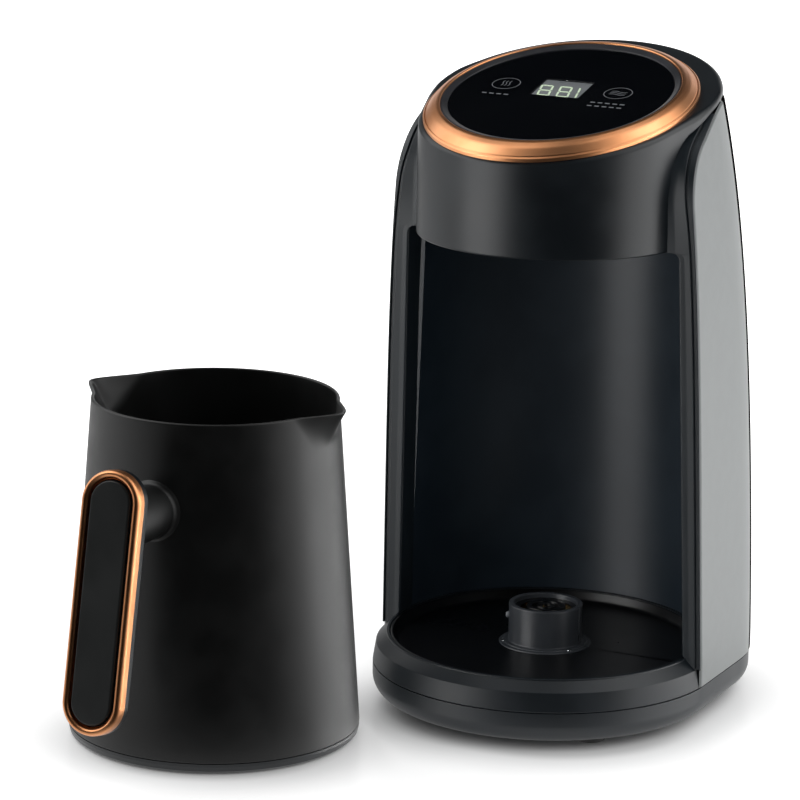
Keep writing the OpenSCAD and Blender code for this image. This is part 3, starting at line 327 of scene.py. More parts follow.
class Wires:
    """Adds nodes to a tree and wires them up."""

    def __init__(self, tree: bpy.types.NodeTree) -> None:
        """Works on that tree."""
        self.nodes, self.links = tree.nodes, tree.links

    def add(self, kind: str) -> bpy.types.Node:
        """Adds a node."""
        return self.nodes.new(kind)

    def feed(self, socket: bpy.types.NodeSocket, value: object) -> None:
        """Fills an input.

        Args:
            socket: the input.
            value: a socket to link into it, or a plain value.
        """
        if isinstance(value, bpy.types.NodeSocket):
            self.links.new(value, socket)
        else:
            socket.default_value = value

    def math(self, kind: str, *values: object) -> bpy.types.NodeSocket:
        """Adds a math node.

        Args:
            kind: its operation.
            values: what its inputs get.

        Returns:
            Its output.
        """
        node = self.add("ShaderNodeMath")
        node.operation = kind
        for socket, value in zip(node.inputs, values):
            self.feed(socket, value)
        return node.outputs[0]

    def vector(self, kind: str, *values: object, out: str = "Value") -> bpy.types.NodeSocket:
        """Adds a vector math node.

        Args:
            kind: its operation.
            values: what its inputs get.
            out: name of the output.

        Returns:
            That output.
        """
        node = self.add("ShaderNodeVectorMath")
        node.operation = kind
        for socket, value in zip(node.inputs, values):
            self.feed(socket, value)
        return node.outputs[out]

    def ramp(self, value: object, low: float, high: float, start: float = 0.0, end: float = 1.0,
             ) -> bpy.types.NodeSocket:
        """Maps one range to another, smoothly, and holds its ends.

        Args:
            value: what is mapped.
            low: value that becomes start.
            high: value that becomes end.
            start: result at low.
            end: result at high.

        Returns:
            The result.
        """
        node = self.add("ShaderNodeMapRange")
        node.interpolation_type = "SMOOTHSTEP"
        for name, number in (("From Min", low), ("From Max", high), ("To Min", start), ("To Max", end)):
            node.inputs[name].default_value = number
        self.feed(node.inputs["Value"], value)
        return node.outputs["Result"]

    def mix(self, share: object, first: object, second: object) -> bpy.types.NodeSocket:
        """Mixes two colours.

        Args:
            share: share of the second one.
            first: one colour.
            second: the other.

        Returns:
            The mixed colour.
        """
        node = self.add("ShaderNodeMix")
        node.data_type = "RGBA"
        for socket, value in zip((node.inputs[0], node.inputs[6], node.inputs[7]), (share, first, second)):
            self.feed(socket, value)
        return node.outputs[2]


class Grain(Enum):
    """Kinds of surface texture, each a node group shared by the finishes that use it."""

    MOULDED = "moulded grain"
    BRUSHED = "brushed lines"
    FLAKED = "flaked paint"


@dataclass(frozen=True)
class Finish:
    """One finish: two close tones, how rough it is and what its surface texture does.

    Attributes:
        name: name of the material.
        slot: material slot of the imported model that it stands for.
        tone: main colour, as a code.
        shade: second colour, mixed in where the texture's cloudy part is high.
        rough: roughness, and by how much the texture varies it.
        grain: kind of texture.
        size: width of one grain, in millimetres.
        relief: height of the texture, in millimetres.
        stretch: how the texture is squeezed along X, Y and Z.
        metal: 1 for a metal.
        specular: strength of the plain reflection.
        glow: strength of its own light.
    """

    name: str
    slot: str
    tone: str
    shade: str
    rough: Pair = (0.4, 0.06)
    grain: Grain = Grain.MOULDED
    size: float = 0.5
    relief: float = 0.01
    stretch: Triple = (1.0, 1.0, 1.0)
    metal: float = 0.0
    specular: float = 0.5
    glow: float = 0.0


CLOUD_WIDTH = 60.0  # width of the cloudy noise, in grains
CLOUD_RELIEF = 0.3  # its share of the relief


class Textures:
    """Builds the shared node groups once and hands them out."""

    def __init__(self) -> None:
        """Starts with no groups."""
        self.made: dict[Grain, bpy.types.NodeTree] = {}

    def get(self, grain: Grain) -> bpy.types.NodeTree:
        """Returns the group of that texture, building it the first time."""
        if grain not in self.made:
            self.made[grain] = self._build(grain)
        return self.made[grain]

    def _build(self, grain: Grain) -> bpy.types.NodeTree:
        """Builds one group.

        A fine noise at the grain's size makes most of the relief. A much wider noise makes the cloud
        and adds a little to the relief. Brushed lines use the fine noise on squeezed coordinates.
        Flaked paint takes the relief from the random colour of small cells.

        Args:
            grain: kind of texture.

        Returns:
            A group with inputs Vector and Size and outputs Cloud and Height.
        """
        tree = bpy.data.node_groups.new(grain.value, "ShaderNodeTree")
        face = tree.interface
        face.new_socket("Vector", in_out="INPUT", socket_type="NodeSocketVector")
        face.new_socket("Size", in_out="INPUT", socket_type="NodeSocketFloat")
        for output in ("Cloud", "Height"):
            face.new_socket(output, in_out="OUTPUT", socket_type="NodeSocketFloat")
        wires = Wires(tree)
        entry, exit_ = wires.add("NodeGroupInput"), wires.add("NodeGroupOutput")
        scale = wires.math("DIVIDE", 1000.0, entry.outputs["Size"])
        if grain is Grain.FLAKED:
            fine = wires.add("ShaderNodeTexVoronoi")
            fine_out = fine.outputs["Color"]
        else:
            fine = wires.add("ShaderNodeTexNoise")
            fine.inputs["Detail"].default_value = 4.0 if grain is Grain.BRUSHED else 2.0
            fine_out = fine.outputs["Fac"]
        cloud = wires.add("ShaderNodeTexNoise")
        cloud.inputs["Detail"].default_value = 3.0
        cloud.inputs["Roughness"].default_value = 0.6
        wires.feed(fine.inputs["Scale"], scale)
        wires.feed(cloud.inputs["Scale"], wires.math("DIVIDE", scale, CLOUD_WIDTH))
        for texture in (fine, cloud):
            wires.feed(texture.inputs["Vector"], entry.outputs["Vector"])
        wires.feed(exit_.inputs["Cloud"], cloud.outputs["Fac"])
        height = wires.math("MULTIPLY_ADD", cloud.outputs["Fac"], CLOUD_RELIEF, fine_out)
        wires.feed(exit_.inputs["Height"], height)
        return tree


class Paints:
    """Makes each finish's material once."""

    def __init__(self) -> None:
        """Starts with no materials."""
        self.textures = Textures()
        self.made: dict[str, bpy.types.Material] = {}

    def get(self, finish: Finish) -> bpy.types.Material:
        """Returns the finish's material, building it the first time."""
        if finish.name not in self.made:
            self.made[finish.name] = self._build(finish)
        return self.made[finish.name]

    def _build(self, finish: Finish) -> bpy.types.Material:
        """Builds one material.

        Object coordinates, squeezed by the finish's stretch, feed the texture group. Its cloud mixes
        the two tones and moves the roughness about its middle, and its height drives the bump. Every
        number that is the same all over sits on the shader itself.

        Args:
            finish: what to build.

        Returns:
            The material.
        """
        material = bpy.data.materials.new(finish.name)
        material.use_nodes = True
        wires = Wires(material.node_tree)
        shader = wires.nodes["Principled BSDF"]
        squeeze = wires.add("ShaderNodeMapping")
        squeeze.inputs["Scale"].default_value = finish.stretch
        wires.feed(squeeze.inputs["Vector"], wires.add("ShaderNodeTexCoord").outputs["Object"])
        texture = wires.add("ShaderNodeGroup")
        texture.node_tree = self.textures.get(finish.grain)
        texture.inputs["Size"].default_value = finish.size
        wires.feed(texture.inputs["Vector"], squeeze.outputs["Vector"])
        cloud = texture.outputs["Cloud"]
        tones = wires.mix(wires.ramp(cloud, 0.35, 0.65), linear(finish.tone), linear(finish.shade))
        wires.feed(shader.inputs["Base Color"], tones)
        rough, spread = finish.rough
        wires.feed(shader.inputs["Roughness"], wires.ramp(cloud, 0.3, 0.7, rough - spread, rough + spread))
        bump = wires.add("ShaderNodeBump")
        bump.inputs["Strength"].default_value = 1.0
        bump.inputs["Distance"].default_value = finish.relief * MM
        wires.feed(bump.inputs["Height"], texture.outputs["Height"])
        wires.feed(shader.inputs["Normal"], bump.outputs["Normal"])
        shader.inputs["Metallic"].default_value = finish.metal
        shader.inputs["Specular IOR Level"].default_value = finish.specular
        if finish.glow:
            shader.inputs["Emission Color"].default_value = linear(finish.tone)
            shader.inputs["Emission Strength"].default_value = finish.glow
        return material


EVEN_GRAIN: dict[str, float] = {"size": 0.35, "relief": 0.006}
DULL_GRAIN: dict[str, float] = {"size": 0.35, "relief": 0.008}

SATIN = Finish("satin black plastic", "satin_black", "060c11", "0a1116", (0.36, 0.02), **EVEN_GRAIN)
FRAME_BLACK = Finish("frame black plastic", "satin_black", "11181d", "161d22", (0.4, 0.03), **EVEN_GRAIN)
BASE_BLACK = Finish("base black plastic", "satin_black", "0c1318", "10171d", (0.43, 0.02), **EVEN_GRAIN)
BOSS = Finish("boss grey black", "satin_black", "2a2d31", "303337", (0.36, 0.03), **EVEN_GRAIN)
CORE = Finish("polished black core", "satin_black", "050608", "08090b", (0.16, 0.02), relief=0.001)
BACK = Finish("back cover black", "satin_black", "08090a", "0c0d0e", (0.6, 0.04), specular=0.12, **DULL_GRAIN)
# painted shade: a dead black strip with no reflection on the rear cover's corners, which darkens its edge
# where a shadowed groove shows
SHADE_STRIP = Finish("painted shade strip", "satin_black", "040404", "060606", (0.9, 0.05), specular=0.0, **DULL_GRAIN)
GLOSS = Finish("gloss black tray", "gloss_black", "050608", "08090b", (0.3, 0.03), size=0.8, relief=0.002)
LINER = Finish("bay liner black", "liner_black", "161f27", "1b242c", (0.38, 0.01), size=0.4, relief=0.002)
PANEL = Finish("silver grey paint", "panel_grey", "757878", "7a7d7d", (0.36, 0.03), Grain.FLAKED, 0.12, 0.002,
               specular=0.3)
COPPER = Finish("satin copper", "copper", "eca776", "e69e6c", (0.33, 0.02), size=0.3, relief=0.002, metal=1.0)
BEZEL = Finish("bezel dark grey", "bezel_grey", "1c1d20", "222327", (0.32, 0.04), size=0.4, relief=0.003)
GLASS = Finish("touch glass", "gloss_black", "040507", "07080a", (0.07, 0.02), size=2.0, relief=0.0008,
               specular=0.35)
SMOKED = Finish("smoked window", "smoked", "55585a", "606365", (0.3, 0.05), size=0.6, relief=0.002)
LIT = Finish("lit segments", "lit", "b4c4a8", "a8b8a0", (0.4, 0.05), size=0.4, relief=0.001, glow=0.12)
PRINT = Finish("printed marks", "part_grey", "5d6064", "54575b", (0.5, 0.05), size=0.3, relief=0.001)
COATING = Finish("pot coating", "pot_coating", "090a0a", "0d0e0e", (0.41, 0.03), size=0.28, relief=0.01)
INSERT = Finish("handle insert black", "gloss_black", "171919", "1b1d1d", (0.36, 0.04), size=0.4,
                relief=0.004)
RUBBER = Finish("black rubber", "rubber", "151515", "1c1c1b", (0.7, 0.08), size=0.25, relief=0.02)
STEEL = Finish("brushed steel", "steel", "b4b7ba", "c2c4c6", (0.28, 0.06), Grain.BRUSHED, 0.3, 0.004,
               (1.0, 1.0, 8.0), 1.0)
PLATE = Finish("cast heater aluminium", "heater_aluminium", "9da0a3", "b0b3b5", (0.42, 0.08), size=0.6,
               relief=0.02, metal=1.0)
BRASS = Finish("contact brass", "brass", "c9a04a", "d6b05c", (0.22, 0.05), Grain.BRUSHED, 0.3, 0.003,
               (1.0, 1.0, 6.0), 1.0)
BOARD = Finish("circuit board green", "board_green", "23492f", "2f5f3d", (0.34, 0.08), Grain.FLAKED,
               1.6, 0.02)
GREY_PART = Finish("grey moulding", "part_grey", "5f6367", "6d7175", (0.45, 0.06), size=0.4, relief=0.01)
WHITE = Finish("white moulding", "white_plastic", "c9cbc6", "d6d8d3", (0.42, 0.05), size=0.4, relief=0.008)
SILICONE = Finish("grey silicone", "silicone", "7d7f80", "8b8d8d", (0.6, 0.06), size=0.3, relief=0.01)

SLOT_FINISH: dict[str, Finish] = {finish.slot: finish for finish in (
    SATIN, GLOSS, LINER, PANEL, COPPER, BEZEL, STEEL, PLATE, BRASS, BOARD, GREY_PART, RUBBER, WHITE,
    SILICONE, COATING, SMOKED, LIT)}


class Workshop:
    """Dresses finished pieces and mounts them on their bodies."""

    def __init__(self) -> None:
        """Starts with no materials made."""
        self.paints = Paints()
        self.pieces: dict[str, list[bpy.types.Object]] = {body.value: [] for body in Body}

    def mount(self, piece: bpy.types.Object, body: Body, finish: Finish, *nodes: str) -> bpy.types.Object:
        """Gives a piece its finish and body, and hides the nodes of the model that it stands for.

        Args:
            piece: the finished piece.
            body: what it moves with.
            finish: its finish.
            nodes: the nodes that it stands for.

        Returns:
            The piece.
        """
        piece.data.materials.append(self.paints.get(finish))
        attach(piece, body.value)
        if nodes:
            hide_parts(*nodes)
        self.pieces[body.value].append(piece)
        LOG.info("%s: %d faces on %s", piece.name, len(piece.data.polygons), body.value)
        return piece

    def second(self, piece: bpy.types.Object, finish: Finish,
               choose: Callable[[Array, Array, Array], Array]) -> None:
        """Gives some faces of a piece a second finish.

        Args:
            piece: the mounted piece.
            finish: the second finish.
            choose: tells from the faces' middles, as X, Y and Z in millimetres, which ones take it.
        """
        faces = piece.data.polygons
        centres = np.empty(3 * len(faces))
        faces.foreach_get("center", centres)
        chosen = choose(*(centres / MM).reshape(-1, 3).T)
        piece.data.materials.append(self.paints.get(finish))
        faces.foreach_set("material_index", chosen.astype(np.int32))

    def on_body(self, *bodies: Body) -> list[bpy.types.Object]:
        """Lists the pieces mounted on those bodies."""
        return [piece for body in bodies for piece in self.pieces[body.value]]

    def dress_model(self) -> None:
        """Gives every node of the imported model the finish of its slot."""
        slots = {row["node"]: row["material_slot"] for row in frame["record"]["subparts"]}
        groups = frame["record"]["behaviour"]["bodies"]
        bodies = {name: body for body, names in groups.items() for name in names}
        for name, node in frame["nodes"].items():
            material = self.paints.get(SLOT_FINISH[slots[name]])
            if not node.data.materials:
                node.data.materials.append(material)
            for place in node.material_slots:
                place.material = material
            self.pieces[bodies[name]].append(node)


# ---------------- tower


@dataclass(frozen=True)
class TowerForm:
    """Outer form of the tower, as functions of height.

    Attributes:
        half_w: half the width at the foot.
        lean: how much narrower each side gets up to the crown, in a straight line.
        crown: how much narrower it gets on top of that, close to the crown.
        back_lean: how far the back comes forward up to the crown.
        taper_z: height where the taper starts.
        taper_h: height over which it runs.
        corner: radius of the rear corners at the foot.
        corner_grow: how much that radius grows up to the crown.
        rear: depth of the back at the foot.
        bay_top: height of the pot bay's ceiling.
        arm_z: height where the frame's columns bend back into arms.
        arm_r: radius of that bend.
        arm_turn: angle of that bend.
        foot_y: depth of the frame's front edge at the foot.
        head_y: depth of that edge where the bend starts.
        tip_z: height of the arms' tips.
        curl_from: length of arm behind the bend, in height, after which it curls up.
        curl: how strongly it curls.
        edge_rise: how far the arms' inner edge stands above their outer one.
        face_y: depth of the control face's middle.
        face_z: height of the control face's middle.
        face_tilt: slope of the control face, in degrees.
        lip: height of the head's lip under the face.
        lip_end: depth behind which the lip's lower edge is level.
        gap: seam between neighbouring skins.
        liner_foot: radius and height of the bay's wall at its foot.
        liner_top: radius of the bay's wall at its ceiling.
    """

    half_w: float = 72.6
    lean: float = 5.4
    crown: float = 6.0
    back_lean: float = 17.7
    taper_z: float = 25.0
    taper_h: float = 230.0
    corner: float = 53.5
    corner_grow: float = 7.3
    rear: float = 94.0
    bay_top: float = 198.0
    arm_z: float = 216.0
    arm_r: float = 28.8
    arm_turn: float = radians(59)
    foot_y: float = -6.9
    head_y: float = -14.6
    tip_z: float = 250.5
    curl_from: float = 9.0
    curl: float = 0.42
    edge_rise: float = 3.0
    face_y: float = 3.6
    face_z: float = 251.3
    face_tilt: float = 13.5
    lip: float = 3.2
    lip_end: float = 30.7
    gap: float = 0.4
    liner_foot: Pair = (66.0, 28.5)
    liner_top: float = 61.4

    def taper(self, z: Array) -> Array:
        """Share of the taper reached at height z."""
        return np.maximum(0, (z - self.taper_z) / self.taper_h)

    def width(self, z: Array) -> Array:
        """Half the width: the foot's, less a straight lean, less a fifth power towards the crown."""
        t = self.taper(z)
        return self.half_w - self.lean * t - self.crown * t**5

    def corner_r(self, z: Array) -> Array:
        """Radius of the rear corners, which grows with the square of the taper."""
        return self.corner + self.corner_grow * self.taper(z) ** 2

    def rear_y(self, z: Array) -> Array:
        """Depth of the back, which leans forward with the square of the taper."""
        return self.rear - self.back_lean * self.taper(z) ** 2

    def corner_at(self, z: Array, angle: Array, depth: Array) -> Array:
        """Point of a rear corner at height z and normal angle, sunk by depth."""
        r = self.corner_r(z)
        return stack(self.width(z) - r + (r - depth) * np.cos(angle),
                     self.rear_y(z) - r + (r - depth) * np.sin(angle), z)

    def skin_at(self, z: Array, y: Array, depth: Array) -> Array:
        """Finds a point of the right side, which is flat up to the rear corner and then follows it.

        Args:
            z: height.
            y: place from front to back.
            depth: how far it is sunk.

        Returns:
            The point.
        """
        z, y, depth = np.broadcast_arrays(z, y, depth)
        middle = self.rear_y(z) - self.corner_r(z)
        angle = np.arcsin(np.clip((y - middle) / self.corner_r(z), 0, 1))
        side = stack(self.width(z) - depth, y, z)
        return np.where((y <= middle)[..., None], side, self.corner_at(z, angle, depth))

    @property
    def bend_z(self) -> float:
        """Height where the arms' bend ends."""
        return self.arm_z + self.arm_r * sin(self.arm_turn)

    def turn(self, z: Array) -> Array:
        """Angle by which the frame's front has turned back at height z."""
        return np.where(z <= self.arm_z, 0, np.where(z <= self.bend_z, np.arcsin(
            np.clip((z - self.arm_z) / self.arm_r, 0, 1)), self.arm_turn))

    def front_y(self, z: Array) -> Array:
        """Follows the frame's front edge: upright, then a circle's arc, then a curling slope.

        Args:
            z: height.

        Returns:
            The edge's depth.
        """
        column = self.foot_y + (self.head_y - self.foot_y) * (z - self.taper_z) / (self.arm_z - self.taper_z)
        s = np.clip((z - self.arm_z) / self.arm_r, 0, 0.999)
        bend = self.head_y + self.arm_r * (1 - np.sqrt(1 - s**2))
        end_y = self.head_y + self.arm_r * (1 - cos(self.arm_turn))
        past = z - self.bend_z
        slope = end_y + past * tan(self.arm_turn) + self.curl * np.maximum(0, past - self.curl_from) ** 2
        return np.where(z <= self.arm_z, column, np.where(z <= self.bend_z, bend, slope))

    def lift(self, z: Array) -> Array:
        """Lifts the arms' inner edge: with the turn's sine in the bend, then less and less to the tip.

        Args:
            z: height.

        Returns:
            How far it stands above the outer edge.
        """
        rise = self.edge_rise * np.sin(self.turn(z)) / sin(self.arm_turn)
        fall = self.edge_rise * np.maximum(0, (self.tip_z - z) / (self.tip_z - self.bend_z))
        return np.where(z <= self.bend_z, rise, fall)

    def face_top(self, y: Array) -> Array:
        """Height of the sloping top at depth y."""
        return self.face_z + (y - self.face_y) * tan(radians(self.face_tilt))

    def lip_z(self, y: Array) -> Array:
        """Height of the lower edge of the head's lip at depth y."""
        return self.face_top(y) - self.lip

    def lip_y(self, z: Array) -> Array:
        """Depth at which a skin of height z meets the lip."""
        return self.face_y + (z + self.gap - self.face_z + self.lip) / tan(radians(self.face_tilt))

    @property
    def skin_top(self) -> float:
        """Height at which the side panels and the rear cover end."""
        return float(self.lip_z(np.array(self.lip_end))) - self.gap

    def liner_r(self, z: Array) -> Array:
        """Radius of the pot bay's wall at height z, a straight cone."""
        foot_r, foot_z = self.liner_foot
        return foot_r + (self.liner_top - foot_r) * (z - foot_z) / (self.bay_top - foot_z)


def edge_sink(across: Array, along: Array, radius: float) -> Array:
    """How far a plate's face sinks near its edges, for a rounded edge.

    With a and b the amounts by which the distances to the nearest edges fall short of the radius,
    the face follows a quarter circle of the length of (a, b).

    Args:
        across: distance to the nearest side edge.
        along: distance to the nearest end edge.
        radius: radius of the rounding.

    Returns:
        The depth below the plate's full face.
    """
    short = np.hypot(np.maximum(0, radius - across), np.maximum(0, radius - along))
    return radius - np.sqrt(np.maximum(0, radius**2 - np.minimum(short, radius) ** 2))


@dataclass(frozen=True)
class TowerSkins:
    """Side panels and rear cover, plates that lie on the tower's form.

    Attributes:
        form: the tower's form.
        foot_z: height of their lower edges.
        wrap: angle round the rear corner at which the panels end.
        seam: angle between the panels' ends and the cover.
        shade_strip_to: angle round the corner up to which the cover is a dead black strip of painted shade,
            where its edge lies in shadow.
        panel_t: thickness of the panels.
        cover_t: thickness of the cover.
        back: how far the panels start behind the frame's front edge.
        radius: rounding of their edges.
        flat: share of the cover's half width that is the flat back.
        half_run: length from the cover's middle to its end, for the rounding there.
    """

    form: TowerForm = field(default_factory=TowerForm)
    foot_z: float = 16.2
    wrap: float = radians(13.5)
    seam: float = radians(0.5)
    shade_strip_to: float = radians(23)
    panel_t: float = 1.1
    cover_t: float = 2.2
    back: float = 1.6
    radius: float = 0.8
    flat: float = 0.28
    half_run: float = 110.0

    def panel(self) -> tuple[Array, Array]:
        """Works out the right side panel.

        Rows are heights, columns run from just behind the frame's ledge back round the corner's
        start. Both faces are points of the tower's skin, the outer one sunk near its edges.

        Returns:
            The outer and the inner grid.
        """
        form = self.form
        z = np.unique(np.concatenate([knots(self.foot_z, form.skin_top, self.radius, 60),
                                      np.linspace(form.arm_z - 6, form.skin_top - 1, 60)]))[:, None]
        front = np.maximum(form.front_y(z) + self.back / np.cos(form.turn(z)), form.lip_y(z))
        corner_r = form.corner_r(z)
        rear = form.rear_y(z) - corner_r + corner_r * sin(self.wrap) - form.gap / 2
        share = knots(0, 1, 0.3, 12)[None, :]
        edge = knots(0, 2 * self.radius, self.radius, 3)[None, :]
        inside = front + 2 * self.radius + (rear - front - 4 * self.radius) * share
        y = np.concatenate([front + edge, inside[:, 1:-1], rear - edge[:, ::-1]], axis=1)
        sink = edge_sink(np.minimum(y - front, rear - y), np.minimum(z - self.foot_z, form.skin_top - z),
                         self.radius)
        return form.skin_at(z, y, sink), form.skin_at(z, y, np.full_like(y, self.panel_t))

    def cover(self) -> tuple[Array, Array]:
        """Works out the rear cover.

        The parameter across runs from -1 to 1: its middle part is the flat back, its outer parts are
        the two corners, whose normal angle falls from a right angle to the panels' edge.

        Returns:
            The outer and the inner grid.
        """
        form, flat = self.form, self.flat
        z = knots(self.foot_z, form.skin_top, self.radius, 70)[:, None]
        q = knots(-1, 1, 0.02, 91)[None, :]
        start = self.wrap + self.seam
        angle = pi / 2 - (pi / 2 - start) * np.maximum(0, (np.abs(q) - flat) / (1 - flat))
        room = (1 - np.abs(q)) * self.half_run
        sink = edge_sink(room, np.minimum(z - self.foot_z, form.skin_top - z), self.radius)
        pull = np.minimum(1, np.abs(q) / flat)
        grids = []
        for depth in (sink, np.full_like(sink, self.cover_t)):
            point = form.corner_at(z, angle, depth)
            centre = form.width(z) - form.corner_r(z)
            x = np.where(np.abs(q) <= flat, centre * pull, point[..., 0]) * np.sign(q)
            grids.append(stack(x, point[..., 1], z))
        return grids[0], grids[1]

    def in_shade_strip(self, x: Array, y: Array, z: Array) -> Array:
        """Tells which places of the cover lie on the painted shade strip: those at a small angle round the
        corner.

        Args:
            x: places across.
            y: places from front to back.
            z: heights.

        Returns:
            True for each place on the seal.
        """
        corner_r = self.form.corner_r(z)
        angle = np.arctan2(y - self.form.rear_y(z) + corner_r, np.abs(x) - self.form.width(z) + corner_r)
        return angle < self.shade_strip_to

    def build(self, shop: Workshop) -> None:
        """Builds both panels and the rear cover."""
        outer, inner = self.panel()
        flip = np.array([-1.0, 1.0, 1.0])
        right = Skin().shell(outer, inner).piece("panel_right")
        left = Skin().shell(outer * flip, inner * flip).piece("panel_left")
        shop.mount(right, Body.TOWER, PANEL, "side_panel_right")
        shop.mount(left, Body.TOWER, PANEL, "side_panel_left")
        cover = Skin().shell(*self.cover()).piece("back_cover")
        shop.mount(cover, Body.TOWER, BACK, "rear_cover")
        # paints shade on the cover's corner strips with the dead black finish
        shop.second(cover, SHADE_STRIP, self.in_shade_strip)


@dataclass(frozen=True)
class FrontFrame:
    """Two columns that bend back into arms beside the head, and the bar that joins them.

    Attributes:
        form: the tower's form.
        foot_z: height of the columns' feet.
        edge_in: how far the frame stays inside the tower's side.
        tuck: how far the frame steps in behind its ledge, for the panel.
        ledge: thickness of the ledge that covers the panel's edge.
        depth: depth of a column.
        thin: share of that depth that the arms lose towards their tips.
        inner_x: distance of the arms' inner side from the middle.
        column_in: how far a column stands in front of the liner's edge.
        rim_z: height up to which the columns stand outside the dish.
        rim_x: distance of their inner side from the middle there.
        bay_corner: radius of the bay's upper corners.
        grow_z: height where the outer band starts to grow wider.
        grow_h: height over which it grows.
        band: width of the outer band below, and what it gains.
        groove_w: width of the groove beside it below, and what it loses.
        groove_d: depth of the groove.
        sag: how far the front sags beside the groove below, and what it gains.
        sag_z: heights between which it gains.
        bar_x: half the length of the bar.
        bar_y: depths of the bar's faces.
        bar_z: heights of the bar's faces.
    """

    form: TowerForm = field(default_factory=TowerForm)
    foot_z: float = 24.1
    edge_in: float = 0.1
    tuck: float = 1.4
    ledge: float = 1.3
    depth: float = 12.0
    thin: float = 0.72
    inner_x: float = 52.0
    column_in: float = 1.7
    rim_z: float = 28.6
    rim_x: float = 65.1
    bay_corner: float = 3.0
    grow_z: float = 190.0
    grow_h: float = 40.0
    band: Pair = (0.6, 1.9)
    groove_w: Pair = (1.7, 0.6)
    groove_d: float = 1.05
    sag: Pair = (0.15, 0.9)
    sag_z: Pair = (200.0, 230.0)
    bar_x: float = 53.0
    bar_y: Pair = (-11.3, -3.3)
    bar_z: Pair = (200.8, 214.8)

    def side(self) -> Array:
        """Grid of the right column and arm, with one rounded section in each row.

        A section lies across the frame: one axis runs inwards along X, the other follows the front's
        turned normal. The front rises inwards by the lift, holds the groove beside its outer band,
        and sags a little between the groove and its inner edge. Behind a thin ledge that covers the
        panel's edge, the section steps in by the panel's thickness.

        Returns:
            Points of shape (heights, points round a section, 3).
        """
        form = self.form
        top = form.bay_top
        bend = form.arm_z + form.arm_r * np.sin(np.linspace(0, form.arm_turn, 22))
        z = np.concatenate([[self.foot_z, self.rim_z - 0.1, self.rim_z + 0.8],
                            np.linspace(36, top - self.bay_corner, 24),
                            top - self.bay_corner * (1 - np.sin(np.linspace(0.15, 1, 6) * pi / 2)),
                            [top + 0.25], np.linspace(top + 2, form.arm_z - 1, 5), bend,
                            np.linspace(form.bend_z + 0.4, form.tip_z, 14)])
        turn, lift, y = form.turn(z), form.lift(z), form.front_y(z)
        x_out = form.skin_at(z, y, np.full_like(z, self.edge_in))[..., 0]
        rise = np.clip((z - top + self.bay_corner) / self.bay_corner, 0, 1)
        x_bay = form.liner_r(np.maximum(z, form.liner_foot[1])) - self.column_in
        x_bay = x_bay - self.bay_corner * (1 - np.sqrt(np.maximum(0, 1 - rise**2)))
        x_in = np.where(z <= top, np.where(z < self.rim_z, self.rim_x, x_bay), self.inner_x)
        reach = np.clip((z - form.arm_z) / (form.tip_z - form.arm_z), 0, 1)
        depth = self.depth * (1 - self.thin * reach)
        width = x_out - x_in
        grown = np.clip((z - self.grow_z) / self.grow_h, 0, 1)
        band = self.band[0] + self.band[1] * grown**1.5
        groove = self.groove_w[0] - self.groove_w[1] * grown
        deeper = np.clip((z - self.sag_z[0]) / (self.sag_z[1] - self.sag_z[0]), 0, 1)
        sag = self.sag[0] + self.sag[1] * deeper * np.clip((form.tip_z - z) / 12, 0, 1)
        middle = 0.5 * (band + groove + width)
        cut = self.groove_d * np.clip((form.tip_z + 1 - z) / 8, 0.3, 1)
        zero, tuck, ledge = (np.full_like(z, size) for size in (0.0, self.tuck, self.ledge))
        across = stack(zero, band, band + 0.15, band + groove - 0.15, band + groove, middle, width, width,
                       tuck, tuck, zero)
        into = stack(zero, zero, cut, cut, zero, sag, zero, depth, depth, ledge, ledge)
        into = into - lift[:, None] * across / width[:, None]
        point_y = y[:, None] + into * np.cos(turn)[:, None]
        point_z = z[:, None] - into * np.sin(turn)[:, None]
        point_z = np.minimum(point_z, form.lip_z(point_y) - form.gap)
        corners = stack(x_out[:, None] - across, point_y, point_z)
        return soften(corners, (0.3, 0.25, 0.2, 0.2, 0.35, 8.0, 0.8, 0.3, 0.3, 0.1, 0.1))

    def build(self, shop: Workshop) -> None:
        """Builds the frame as one piece."""
        skin = Skin()
        rows = self.side()
        for flip in (1.0, -1.0):
            skin.bar(rows * np.array([flip, 1.0, 1.0]))
        (y0, y1), (z0, z1) = self.bar_y, self.bar_z
        bar = soften(np.array([[y0, z0], [y1, z0], [y1, z1], [y0, z1]]), [1] * 4)
        x = np.array([-self.bar_x, self.bar_x])[:, None]
        skin.bar(stack(x, bar[None, :, 0], bar[None, :, 1]))
        shop.mount(skin.piece("frame_columns"), Body.TOWER, FRAME_BLACK, "front_frame")


